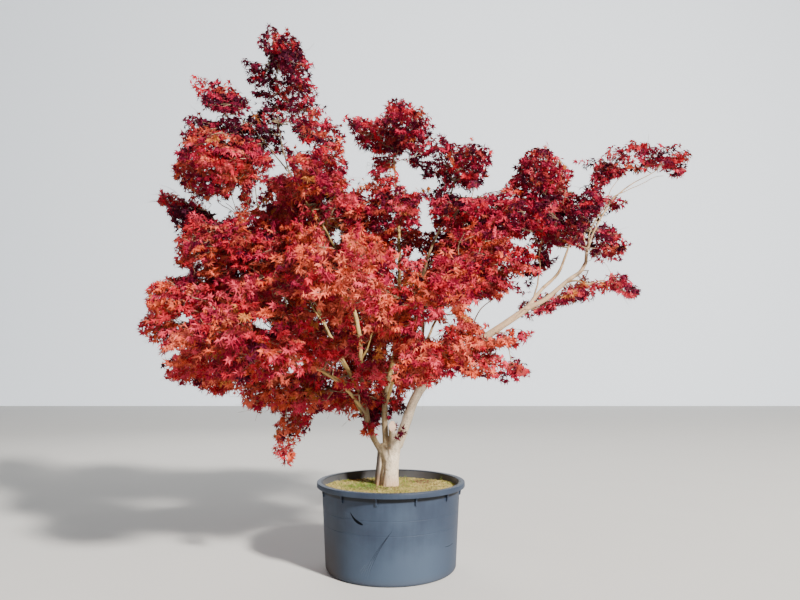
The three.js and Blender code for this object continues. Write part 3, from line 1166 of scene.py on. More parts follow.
@dataclass
class Tub:
    """The round tub: wall, rolled lip, gussets, mould rings and the marks of use."""

    rim_radius: float = 0.600
    height: float = 0.670
    lip_depth: float = 0.038
    lip_thickness: float = 0.007
    lip_round: float = 0.006
    lip_steps: int = 5
    edge_steps: int = 6
    wall_top_radius: float = 0.560
    foot_radius: float = 0.522
    foot_round: float = 0.028
    foot_steps: int = 8
    wall_thickness: float = 0.008
    floor_thickness: float = 0.010
    sides: int = 224
    sharp_angle: float = 34
    mould_rings: tuple[float, ...] = (0.465, 0.360)
    ring_section: tuple[Span, ...] = ((-1, 0), (-0.4, 1), (0.4, 1), (1, 0))
    ring_depth: float = 0.0012
    ring_width: float = 0.005
    gussets: int = 12
    first_gusset: float = -130.0
    gusset_thickness: float = 0.013
    gusset_reach: float = 0.032
    gusset_slope: Span = (0.006, 0.010)
    gusset_foot_reach: float = 0.015
    gusset_foot_slope: float = 0.006
    gusset_drop: float = 0.056
    gusset_sink: float = 0.003
    mark_step: float = 0.25
    mark_bluntness: float = 0.02

    def inner_radius(self, z: float) -> float:
        """Inner radius of the wall at a height."""
        slope = (self.wall_top_radius - self.foot_radius) / self.height
        return self.foot_radius - self.wall_thickness + slope * z

    def outer_radius(self, z: float) -> float:
        """Outer radius of the wall at a height, above its rounded foot."""
        top = self.height - self.lip_thickness
        share = (z - self.foot_round) / (top - self.foot_round)
        return self.foot_radius + (self.wall_top_radius - self.foot_radius) * share

    def profile(self) -> list[Span]:
        """The wall's outline from the middle of its underside to the middle of its floor.

        Returns:
            Radii and heights.
        """
        foot = self.foot_radius - self.foot_round
        underside = self.height - self.lip_thickness
        lip_edge = self.height - self.lip_depth
        outline = [(0.0, 0.0), (foot / 2, 0.0)]
        outline += arc((foot, self.foot_round), self.foot_round, -90, 0, self.foot_steps)
        for ring in sorted(self.mould_rings):
            for rise, sink in self.ring_section:
                z = ring + rise * self.ring_width / 2
                outline.append((self.outer_radius(z) - sink * self.ring_depth, z))
        outline.append((self.outer_radius(lip_edge), lip_edge))
        outline.append((self.wall_top_radius, underside))
        outline.append((self.rim_radius - self.lip_thickness, underside))
        edge = self.lip_thickness / 2
        outline += arc((self.rim_radius - edge, lip_edge + edge), edge, 180, 360, self.edge_steps)
        crest = self.height - self.lip_round
        outline += arc((self.rim_radius - self.lip_round, crest), self.lip_round, 0, 90, self.lip_steps)
        inner = self.inner_radius(self.height) + self.lip_round
        outline += arc((inner, crest), self.lip_round, 90, 180, self.lip_steps)
        outline.append((self.inner_radius(self.floor_thickness), self.floor_thickness))
        outline.append((0.0, self.floor_thickness))
        return outline

    def gusset(self, angle: float) -> Shape:
        """One plate between the lip and the wall.

        Args:
            angle: Its direction from the axis, in degrees.

        Returns:
            Its shape.
        """
        top = self.height - self.lip_thickness + self.gusset_sink
        lip_edge = self.height - self.lip_depth
        inner = self.wall_top_radius - self.gusset_sink
        outer = self.wall_top_radius + self.gusset_reach
        foot = inner - 2 * self.gusset_sink
        tab = foot + self.gusset_foot_reach
        low = lip_edge - self.gusset_drop
        outline = [(inner, top), (outer, top), (outer, lip_edge)]
        outline += [(tab + self.gusset_slope[0], lip_edge - self.gusset_slope[1])]
        outline += [(tab, low), (foot, low - self.gusset_foot_slope)]
        turn = math.radians(angle)
        along = np.array((math.cos(turn), math.sin(turn), 0.0))
        across = np.array((-math.sin(turn), math.cos(turn), 0.0))
        points = []
        for side in (-0.5, 0.5):
            points += [along * r + across * side * self.gusset_thickness + UP * z for r, z in outline]
        count = len(outline)
        triangles = [(0, i + 1, i) for i in range(1, count - 1)]
        triangles += [(count, count + i, count + i + 1) for i in range(1, count - 1)]
        for i in range(count):
            j = (i + 1) % count
            triangles += [(i, j, count + j), (i, count + j, count + i)]
        return Shape(np.array(points), np.array(triangles))

    def mark(self, ends: Array, width: float, proud: float) -> Shape:
        """A thin tapering mark on the wall.

        Args:
            ends: Points of its middle line, each an angle in degrees and a height.
            width: Its width in the middle.
            proud: How far its middle stands out of the wall.

        Returns:
            Its shape.
        """
        line = rounded_path([(a, z, 0.0) for a, z in ends], self.mark_step)
        share = np.linspace(0, 1, len(line))
        half = width / 2 * np.sqrt(np.maximum(1 - (2 * share - 1) ** 2, self.mark_bluntness))
        rows = []
        for side, lift in ((-1.0, 0.0), (0.0, proud), (1.0, 0.0)):
            angle = np.radians(line[:, 0])
            z = line[:, 1] + side * half
            x, y = round_points(np.array([self.outer_radius(h) for h in z]) + lift, angle)
            rows.append(np.stack([x, y, z], 1))
        grid = np.stack(rows, 1).reshape(-1, 3)
        return Shape(grid, strip_triangles(len(line), len(rows), False)[:, ::-1])

    def build(self) -> None:
        """Adds the tub with its gussets and marks."""
        shapes = [turned(self.profile(), self.sides)]
        step = 360 / self.gussets
        shapes += [self.gusset(self.first_gusset + step * i) for i in range(self.gussets)]
        for finish, group in ((1, CUTS), (2, SCUFFS)):
            marks = [(*mark, row.proud) for row in group for mark in row.marks()]
            shapes += [self.mark(*mark).with_finish(finish) for mark in marks]
        mesh = make_mesh("tub_skin", Shape.joined(shapes), True)
        # Near-black: painted shade inside the cuts.
        gash_shade = PlainPlastic("tub_gash", (0.003, 0.004, 0.006), 0.8, 0.05)
        scratch = PlainPlastic("tub_scratch", (0.105, 0.135, 0.175), 0.55, 0.4)
        materials = [finish.material() for finish in (TubPlastic(), gash_shade, scratch)]
        keep_edges(add_piece("tub_shell", mesh, materials, ["tub"]), self.sharp_angle)


def keep_edges(piece: bpy.types.Object, angle: float) -> None:
    """Shades a piece smooth except over edges sharper than an angle in degrees.

    Args:
        piece: The piece, made of triangles.
        angle: The angle.
    """
    mesh = piece.data
    sharp = mesh.attributes.get("sharp_edge") or mesh.attributes.new("sharp_edge", "BOOLEAN", "EDGE")
    normals = np.zeros(3 * len(mesh.polygons), np.float32)
    mesh.polygons.foreach_get("normal", normals)
    normals = normals.reshape(-1, 3)
    edges = np.zeros(len(mesh.loops), np.int32)
    mesh.loops.foreach_get("edge_index", edges)
    faces = np.repeat(np.arange(len(mesh.polygons)), 3)
    order = np.argsort(edges, kind="stable")
    edges, faces = edges[order], faces[order]
    paired = edges[:-1] == edges[1:]
    facing = np.einsum("ij,ij->i", normals[faces[:-1][paired]], normals[faces[1:][paired]])
    flags = np.zeros(len(mesh.edges), bool)
    flags[edges[:-1][paired]] = facing < math.cos(math.radians(angle))
    sharp.data.foreach_set("value", flags)


@dataclass
class SoilBed:
    """The soil with its bank round the trunk."""

    tub: Tub
    edge_level: float = 0.604
    crown_rise: float = 0.004
    mound_top: float = 0.612
    mound_top_radius: float = 0.190
    mound_foot_radius: float = 0.380
    side_rise: float = 0.016
    side_band: Span = (0.30, 0.52)
    trunk: Span = (-0.045, 0.090)
    wall_gap: float = 0.0015
    floor_gap: float = 0.0005
    rings: int = 70
    sectors: int = 200
    uneven: float = 0.009
    bumps: Waves = (16, 4)
    clods: Waves = (60, 2)
    clod_share: float = 0.5
    settled: float = 0.97
    edge_drop: float = 0.004
    seed: int = 11

    def level(self, x: Array, y: Array) -> Array:
        """Height of the soil at a place, without its fine unevenness.

        Args:
            x: Places across.
            y: Places from front to back.

        Returns:
            The heights.
        """
        middle = np.hypot(x, y) / self.tub.inner_radius(self.edge_level)
        bed = self.edge_level + self.crown_rise * (1 - middle)
        away = np.hypot(x - self.trunk[0], y - self.trunk[1])
        bank = 1 - smooth_step(self.mound_top_radius, self.mound_foot_radius, away)
        sides = self.side_rise * smooth_step(*self.side_band, np.abs(x))
        return sides + np.maximum(bed, self.edge_level + (self.mound_top - self.edge_level) * bank)

    def place(self, x: float, y: float, lift: float) -> Array:
        """The point at a place and a height over the soil."""
        return np.array((x, y, float(self.level(np.array(x), np.array(y))) + lift))

    def reach(self, margin: float) -> float:
        """How far the soil goes from the axis, less a margin."""
        return self.tub.inner_radius(self.edge_level) - margin

    def bed(self) -> Shape:
        """The soil as a closed body that fills the tub.

        Returns:
            Its shape.
        """
        radius = self.reach(self.wall_gap)
        turn = np.linspace(0, FULL_TURN, self.sectors, endpoint=False)
        x, y = round_points(radius * np.linspace(0.0, 1.0, self.rings)[:, None], turn)
        flat = np.stack([x, y, np.zeros_like(x)], -1).reshape(-1, 3)
        bumps = rough(flat, *self.bumps) + self.clod_share * rough(flat, *self.clods)
        settle = 1 - smooth_step(self.settled, 1.0, np.hypot(x, y).ravel() / radius)
        z = self.level(x, y).ravel() + self.uneven * bumps * settle - self.edge_drop * (1 - settle)
        top = np.column_stack([x.ravel(), y.ravel(), z])
        floor = self.tub.floor_thickness + self.floor_gap
        low_x, low_y = round_points(self.tub.inner_radius(floor) - self.wall_gap, turn)
        ring = np.stack([low_x, low_y, np.full(self.sectors, floor)], 1)
        points = np.vstack([top, ring, np.zeros_like(ring) + (0, 0, floor)])
        return Shape(points, strip_triangles(self.rings + 2, self.sectors, True))

    def build(self) -> None:
        """Adds the soil and what grows and lies on it."""
        rng = np.random.default_rng(self.seed)
        bed = make_mesh("soil_bed", self.bed(), True)
        add_piece("soil_bed", bed, [MossySoil().material()], ["soil"])
        cover = Shape.joined([part.shape(rng) for part in (Moss(self), Weeds(self), Chips(self))])
        finishes = (
            Tuft("moss_straw", (0.62, 0.50, 0.19), (0.36, 0.30, 0.060)),
            Tuft("moss_green", (0.24, 0.31, 0.04), (0.09, 0.17, 0.02)),
            Tuft("moss_brown", (0.27, 0.12, 0.070), (0.11, 0.050, 0.032)),
        )
        mesh = make_mesh("soil_cover", cover, False)
        add_piece("soil_cover", mesh, [finish.material() for finish in finishes], ["soil"])


class Cover(Enum):
    """The finishes of the soil's cover, by their numbers."""

    STRAW = 0
    GREEN = 1
    BROWN = 2


@dataclass(frozen=True)
class MossSpot:
    """A spot where one colour of moss is common: its middle, how wide it is, and its strength."""

    x: float
    y: float
    area: float
    strength: float = 1.0

    def at(self, x: Array, y: Array) -> Array:
        """How strong the spot is at a place."""
        return self.strength * np.exp(-((x - self.x) ** 2 + (y - self.y) ** 2) / self.area)


@dataclass
class Moss:
    """Blades of moss and low weed all over the soil."""

    soil: SoilBed
    tufts: int = 5200
    blades: int = 5
    wall_margin: float = 0.012
    trunk_radius: float = 0.085
    depth: float = 0.003
    patches: Waves = (4.5, 2)
    green_spot: MossSpot = MossSpot(-0.18, 0.06, 0.020, 1.2)
    green_patch: Span = (0.18, 0.26)
    brown_spot: MossSpot = MossSpot(0.26, 0.30, 0.012)
    brown_patch: Span = (-0.20, 0.24)
    foot_ring: float = 0.10
    foot_ring_area: float = 0.0022
    foot_ring_front: float = 0.10
    foot_share: float = 0.75
    purity: float = 0.9
    scatter: float = 0.006
    lean: float = 0.55
    height: Span = (0.006, 0.017)
    green_growth: float = 0.5
    half_width: Span = (0.0012, 0.0026)

    def kinds(self, roots: Array, from_trunk: Array, luck: Array) -> Array:
        """The finish of each tuft: green and brown in spots and patches, straw elsewhere.

        Args:
            roots: The tufts' feet.
            from_trunk: Their distances from the trunk.
            luck: A chance from 0 to 1 for each.

        Returns:
            The finish numbers.
        """
        x, y = roots[:, 0], roots[:, 1]
        patch = rough(roots * LEVEL, *self.patches)
        green = self.green_spot.at(x, y) + self.green_patch[1] * (patch > self.green_patch[0])
        brown = self.brown_spot.at(x, y) + self.brown_patch[1] * (patch < self.brown_patch[0])
        ring = np.exp(-((from_trunk - self.foot_ring) ** 2) / self.foot_ring_area)
        brown = brown + self.foot_share * ring * (y < self.foot_ring_front)
        rest = np.where(luck > 1 - brown * self.purity, Cover.BROWN.value, Cover.STRAW.value)
        return np.where(luck < green * self.purity, Cover.GREEN.value, rest)

    def shape(self, rng: Chance) -> Shape:
        """The blades as one shape.

        Args:
            rng: Where the chances come from.

        Returns:
            The blades, with the cover's finish numbers.
        """
        far = self.soil.reach(self.wall_margin) * np.sqrt(rng.random(self.tufts))
        x, y = round_points(far, rng.random(self.tufts) * FULL_TURN)
        from_trunk = np.hypot(x - self.soil.trunk[0], y - self.soil.trunk[1])
        keep = from_trunk > self.trunk_radius
        x, y = x[keep], y[keep]
        roots = np.column_stack([x, y, self.soil.level(x, y) - self.depth])
        kind = self.kinds(roots, from_trunk[keep], rng.random(len(roots)))
        base = np.repeat(roots, self.blades, 0)
        base = base + rng.normal(0, self.scatter, base.shape) * LEVEL
        lean = rng.normal(0, self.lean, base.shape) * LEVEL + UP
        growth = np.repeat(1 + self.green_growth * (kind == Cover.GREEN.value), self.blades)
        tips = base + unit(lean) * (rng.uniform(*self.height, len(base)) * growth)[:, None]
        side = unit(np.cross(lean, rng.normal(0, 1, base.shape)))
        side = side * rng.uniform(*self.half_width, (len(base), 1))
        points = np.stack([base - side, base + side, tips], 1).reshape(-1, 3)
        triangles = np.arange(len(points)).reshape(-1, 3)
        return Shape(points, triangles, None, np.repeat(kind, self.blades))


@dataclass
class Weeds:
    """A few taller seedlings near the rim, each a stalk with small leaves."""

    soil: SoilBed
    count: int = 46
    wall_margin: float = 0.02
    nearness: Span = (0.55, 1.0)
    depth: float = 0.003
    height: Span = (0.02, 0.05)
    lean: float = 0.25
    bow: float = 0.002
    stalk_radii: Point = (0.0011, 0.0009, 0.0004)
    stalk_sides: int = 3
    leaves: int = 6
    leaf_start: Span = (0.3, 1.0)
    leaf_rise: Span = (0.0, 0.8)
    leaf_half_width: float = 0.0028
    leaf_length: Span = (0.007, 0.013)

    def leaf(self, root: Array, tip: Array, rng: Chance) -> Shape:
        """One lozenge-shaped leaf on a stalk from root to tip.

        Args:
            root: The stalk's foot.
            tip: The stalk's tip.
            rng: Where the chances come from.

        Returns:
            Its shape.
        """
        start = root + (tip - root) * rng.uniform(*self.leaf_start)
        out = unit(np.array((rng.normal(), rng.normal(), rng.uniform(*self.leaf_rise))))
        wide = unit(np.cross(out, UP)) * self.leaf_half_width
        end = start + out * rng.uniform(*self.leaf_length)
        middle = (start + end) / 2
        return Shape(np.array([start, middle + wide, end, middle - wide]), np.array([(0, 1, 2), (0, 2, 3)]))

    def shape(self, rng: Chance) -> Shape:
        """The seedlings as one green shape.

        Args:
            rng: Where the chances come from.

        Returns:
            The seedlings.
        """
        shapes = []
        for _ in range(self.count):
            far = self.soil.reach(self.wall_margin) * rng.uniform(*self.nearness)
            root = self.soil.place(*round_points(far, rng.uniform(0, FULL_TURN)), -self.depth)
            tall = rng.uniform(*self.height)
            tip = root + np.array((rng.normal(0, self.lean), rng.normal(0, self.lean), 1.0)) * tall
            line = np.array([root, (root + tip) / 2 + self.bow, tip])
            shapes.append(tube(line, np.array(self.stalk_radii), self.stalk_sides))
            shapes += [self.leaf(root, tip, rng) for _ in range(self.leaves)]
        return Shape.joined(shapes).with_finish(Cover.GREEN.value)


@dataclass
class Chips:
    """Bark chips and clods on the soil, two in three of them at the trunk's foot."""

    soil: SoilBed
    count: int = 260
    strewn_every: int = 3
    strewn_radius: float = 0.52
    foot_reach: Span = (0.09, 0.20)
    lift: float = 0.003
    length: Span = (0.0025, 0.0075)
    width_share: Span = (0.5, 1.0)
    height_share: Span = (0.3, 0.7)
    wear: Span = (0.7, 1.2)

    def chip(self, centre: Array, rng: Chance) -> Shape:
        """One worn eight-sided chip round its middle.

        Args:
            centre: Its middle.
            rng: Where the chances come from.

        Returns:
            Its shape.
        """
        size = rng.uniform(*self.length) * np.array(
            (1.0, rng.uniform(*self.width_share), rng.uniform(*self.height_share))
        )
        corners = np.array([(1, 0, 0), (-1, 0, 0), (0, 1, 0), (0, -1, 0), (0, 0, 1), (0, 0, -1)], float)
        twist = rng.uniform(0, FULL_TURN)
        x = corners[:, 0] * math.cos(twist) - corners[:, 1] * math.sin(twist)
        y = corners[:, 0] * math.sin(twist) + corners[:, 1] * math.cos(twist)
        corners = np.column_stack([x, y, corners[:, 2]]) * rng.uniform(*self.wear, (len(corners), 1)) * size
        faces = [(0, 2, 4), (2, 1, 4), (1, 3, 4), (3, 0, 4), (2, 0, 5), (1, 2, 5), (3, 1, 5), (0, 3, 5)]
        return Shape(centre + corners, np.array(faces))

    def shape(self, rng: Chance) -> Shape:
        """The chips as one brown shape.

        Args:
            rng: Where the chances come from.

        Returns:
            The chips.
        """
        shapes = []
        for number in range(self.count):
            turn = rng.uniform(0, FULL_TURN)
            if number % self.strewn_every:
                x, y = round_points(rng.uniform(*self.foot_reach), turn)
                x, y = self.soil.trunk[0] + x, self.soil.trunk[1] + y
            else:
                x, y = round_points(self.strewn_radius * math.sqrt(rng.random()), turn)
            shapes.append(self.chip(self.soil.place(x, y, self.lift), rng))
        return Shape.joined(shapes).with_finish(Cover.BROWN.value)


@dataclass(frozen=True)
class Limb:
    """A stem, bough or branch: its node, its path, its end radii and how far it is stout wood.

    The flare widens its foot by a share, and slimmer is what its end keeps of its radius.
    """

    name: str
    path: tuple[Point, ...]
    radii: Span
    stout: float = 0.22
    flare: float = 0.0
    slimmer: float = 1.0
    step: float = 0.012

    def line(self, step: float | None = None) -> Array:
        """Points along its middle, a step apart."""
        return rounded_path(list(self.path), step or self.step)

    def radius_at(self, far: Array) -> Array:
        """Its radius at distances from its foot, the last of which is its whole length."""
        return self.radii[0] + (self.radii[1] - self.radii[0]) * np.clip(far / far[-1], 0, 1)


# The paths are those of the limbs' solids. A whole limb is stout wood from end to end,
# and the trunk's flat foot is where its solid meets the soil.
WHOLE = 99.0
TRUNK_FOOT = 0.6123
TRUNK = (
    Limb("trunk", ((-0.015, 0.09, 0.57), (-0.005, 0.092, 0.74), (0.01, 0.094, 0.86), (0.033, 0.092, 1.0)),
         (0.068, 0.06), WHOLE, 0.2),
    Limb("trunk", ((-0.104, 0.12, 0.57), (-0.098, 0.116, 0.74), (-0.088, 0.104, 0.86),
         (-0.083, 0.092, 0.95)), (0.031, 0.029), WHOLE, 0.3),
    Limb("trunk", ((-0.007, 0.088, 0.77), (-0.043, 0.082, 0.87), (-0.083, 0.088, 0.95)),
         (0.042, 0.035), WHOLE),
)
CUT_STUB = Limb("trunk", ((0.02, 0.08, 0.95), (0.01, 0.045, 1.045), (0.011, 0.024, 1.19)),
                (0.033, 0.031), WHOLE)
CUT_CENTRE = np.array((0.011, 0.032, 1.098))
CUT_FACING = np.array((0.03, -0.86, 0.509))
BOUGHS = (
    Limb("bough_right_reach", ((0.05, 0.09, 0.93), (0.107, 0.08, 1.08), (0.215, 0.05, 1.355),
         (0.41, 0.0, 1.58), (0.86, -0.06, 1.885), (1.14, -0.05, 2.075)), (0.044, 0.027), WHOLE),
    Limb("bough_right_lower", ((1.138, -0.05, 2.074), (1.29, -0.05, 2.15), (1.5, -0.03, 2.32),
         (1.61, -0.01, 2.395), (1.665, 0.0, 2.48)), (0.022, 0.016), WHOLE),
    Limb("bough_right_rise", ((1.664, 0.0, 2.478), (1.685, 0.01, 2.6), (1.815, 0.04, 2.86),
         (1.975, 0.06, 3.09), (2.33, 0.05, 3.31)), (0.015, 0.006), slimmer=0.62),
    Limb("bough_right_upper", ((1.125, -0.05, 2.065), (1.275, 0.0, 2.24), (1.43, 0.05, 2.385),
         (1.56, 0.08, 2.68)), (0.018, 0.009), 0.35),
    Limb("bough_leader_low", ((-0.078, 0.084, 0.88), (-0.165, 0.1, 1.035), (-0.25, 0.1, 1.48),
         (-0.28, 0.1, 1.89), (-0.405, 0.1, 2.43)), (0.026, 0.016), 0.8),
    Limb("bough_leader_top", ((-0.404, 0.1, 2.428), (-0.545, 0.1, 2.725), (-0.895, 0.1, 3.285),
         (-1.01, 0.08, 3.7), (-1.035, 0.055, 4.33)), (0.015, 0.006), 0.0, slimmer=0.60),
    Limb("bough_centre", ((-0.045, 0.09, 0.92), (-0.053, 0.1, 1.29), (0.045, 0.15, 1.82),
         (0.065, 0.18, 2.77), (0.01, 0.115, 3.54)), (0.027, 0.008), 0.6),
    Limb("bough_left_reach", ((-0.205, 0.1, 1.21), (-0.335, 0.08, 1.5), (-0.515, 0.05, 1.84),
         (-0.79, 0.01, 2.34), (-1.43, 0.05, 2.74)), (0.018, 0.008)),
    Limb("bough_left_high", ((-0.935, 0.1, 3.34), (-1.21, 0.15, 3.67), (-1.5, 0.14, 3.97)),
         (0.009, 0.005), 0.0, slimmer=0.75),
    Limb("bough_left_low", ((-0.238, 0.1, 1.39), (-0.48, 0.06, 1.5), (-0.9, 0.02, 1.64),
         (-1.42, 0.0, 1.85)), (0.015, 0.007)),
    Limb("bough_inner_right", ((0.24, 0.045, 1.39), (0.27, 0.1, 1.87), (0.29, 0.14, 2.44),
         (0.46, 0.15, 2.9), (0.6, 0.18, 3.37)), (0.015, 0.007)),
    Limb("bough_front_left", ((-0.205, 0.1, 1.19), (-0.41, -0.23, 1.46), (-0.82, -0.7, 1.71)),
         (0.015, 0.008)),
    Limb("bough_front_right", ((-0.052, 0.1, 1.24), (0.06, -0.27, 1.6), (0.22, -0.76, 1.96)),
         (0.015, 0.008)),
    Limb("bough_back_left", ((-0.19, 0.1, 1.12), (-0.48, 0.43, 1.48), (-1.18, 0.83, 1.96)),
         (0.017, 0.008)),
    Limb("bough_back_centre", ((-0.053, 0.1, 1.33), (-0.18, 0.48, 1.62), (-0.4, 0.88, 1.92)),
         (0.016, 0.008)),
    Limb("bough_back_right", ((0.262, 0.09, 1.72), (0.42, 0.43, 2.06), (0.6, 0.78, 2.46)),
         (0.013, 0.008), 0.0),
)


# Thin branches off the boughs, too slight to have a solid of their own.
BRANCHES = (
    Limb("bough_right_rise", ((1.698, 0.02, 2.65), (1.717, 0.02, 2.757), (1.806, 0.01, 2.906),
         (1.864, -0.01, 2.998), (1.9, -0.02, 3.111), (1.972, 0.0, 3.207), (2.067, 0.01, 3.292)),
         (0.0058, 0.0024)),
    Limb("bough_right_rise", ((1.83, 0.042, 2.885), (1.855, 0.05, 2.926), (1.933, 0.04, 2.986),
         (2.009, 0.03, 3.018), (2.08, 0.03, 3.045)), (0.004, 0.0018)),
    Limb("bough_right_rise", ((1.93, 0.056, 3.03), (1.952, 0.06, 3.073), (2.049, 0.03, 3.126),
         (2.17, 0.02, 3.177), (2.278, 0.02, 3.232), (2.384, 0.02, 3.25)), (0.0046, 0.002)),
    Limb("bough_right_rise", ((1.681, 0.01, 2.588), (1.67, 0.04, 2.727), (1.697, 0.05, 2.899),
         (1.755, 0.05, 3.051), (1.805, 0.05, 3.196), (1.871, 0.05, 3.306)), (0.0066, 0.0026)),
    Limb("bough_right_upper", ((1.198, -0.026, 2.15), (1.243, -0.03, 2.32), (1.264, -0.04, 2.534),
         (1.292, -0.02, 2.756), (1.33, 0.0, 2.983), (1.353, 0.03, 3.217)), (0.008, 0.003)),
    Limb("bough_right_lower", ((1.455, -0.036, 2.28), (1.482, -0.04, 2.296), (1.561, -0.05, 2.31),
         (1.659, -0.06, 2.283), (1.778, -0.06, 2.308), (1.948, -0.05, 2.259)), (0.01, 0.0035)),
    Limb("bough_inner_right", ((0.565, 0.15, 2.6), (0.66, 0.14, 2.941), (0.724, 0.13, 3.131),
         (0.792, 0.14, 3.365)), (0.007, 0.0028)),
    Limb("bough_right_reach", ((0.54, -0.02, 1.665), (0.588, -0.04, 1.764), (0.66, -0.05, 1.896),
         (0.761, -0.06, 2.079), (0.871, -0.07, 2.162)), (0.009, 0.0035)),
    Limb("bough_left_reach", ((-0.514, 0.05, 1.84), (-0.585, 0.02, 1.966), (-0.684, -0.01, 2.123),
         (-0.763, -0.04, 2.227)), (0.01, 0.0045)),
    Limb("bough_left_reach", ((-1.08, 0.025, 2.56), (-1.18, 0.036, 2.76), (-1.356, 0.04, 2.923),
         (-1.446, 0.04, 3.012)), (0.006, 0.0028)),
    Limb("bough_left_reach", ((-1.345, 0.04, 2.915), (-1.385, 0.04, 3.021), (-1.404, 0.03, 3.126)),
         (0.004, 0.0024)),
    Limb("bough_left_reach", ((-1.06, 0.024, 2.545), (-1.12, 0.05, 2.74), (-1.179, 0.05, 3.042),
         (-1.209, 0.04, 3.248), (-1.249, 0.04, 3.403)), (0.0072, 0.003)),
    Limb("bough_left_reach", ((-0.335, 0.08, 1.5), (-0.42, 0.0, 1.64), (-0.52, -0.04, 1.74),
         (-0.64, -0.06, 1.8)), (0.01, 0.0045)),
    Limb("bough_leader_low", ((-0.262, 0.095, 1.64), (-0.215, 0.08, 1.735), (-0.168, 0.065, 1.85),
         (-0.13, 0.055, 1.975)), (0.01, 0.0045)),
)
STOUT_LIMBS = (*TRUNK, CUT_STUB, *BOUGHS)


@dataclass(frozen=True)
class Sway:
    """How a limb bends to and fro: its waves, how far, over what length it starts, and its own luck."""

    waves: Waves
    height: float
    start: float
    shifts: Point

    def bent(self, line: Array, far: Array) -> Array:
        """A line bent this way, but not at its foot."""
        sway = np.stack([rough(line + shift, *self.waves) for shift in self.shifts], 1)
        return line + self.height * sway * smooth_step(0.0, self.start, far - far[0])[:, None]


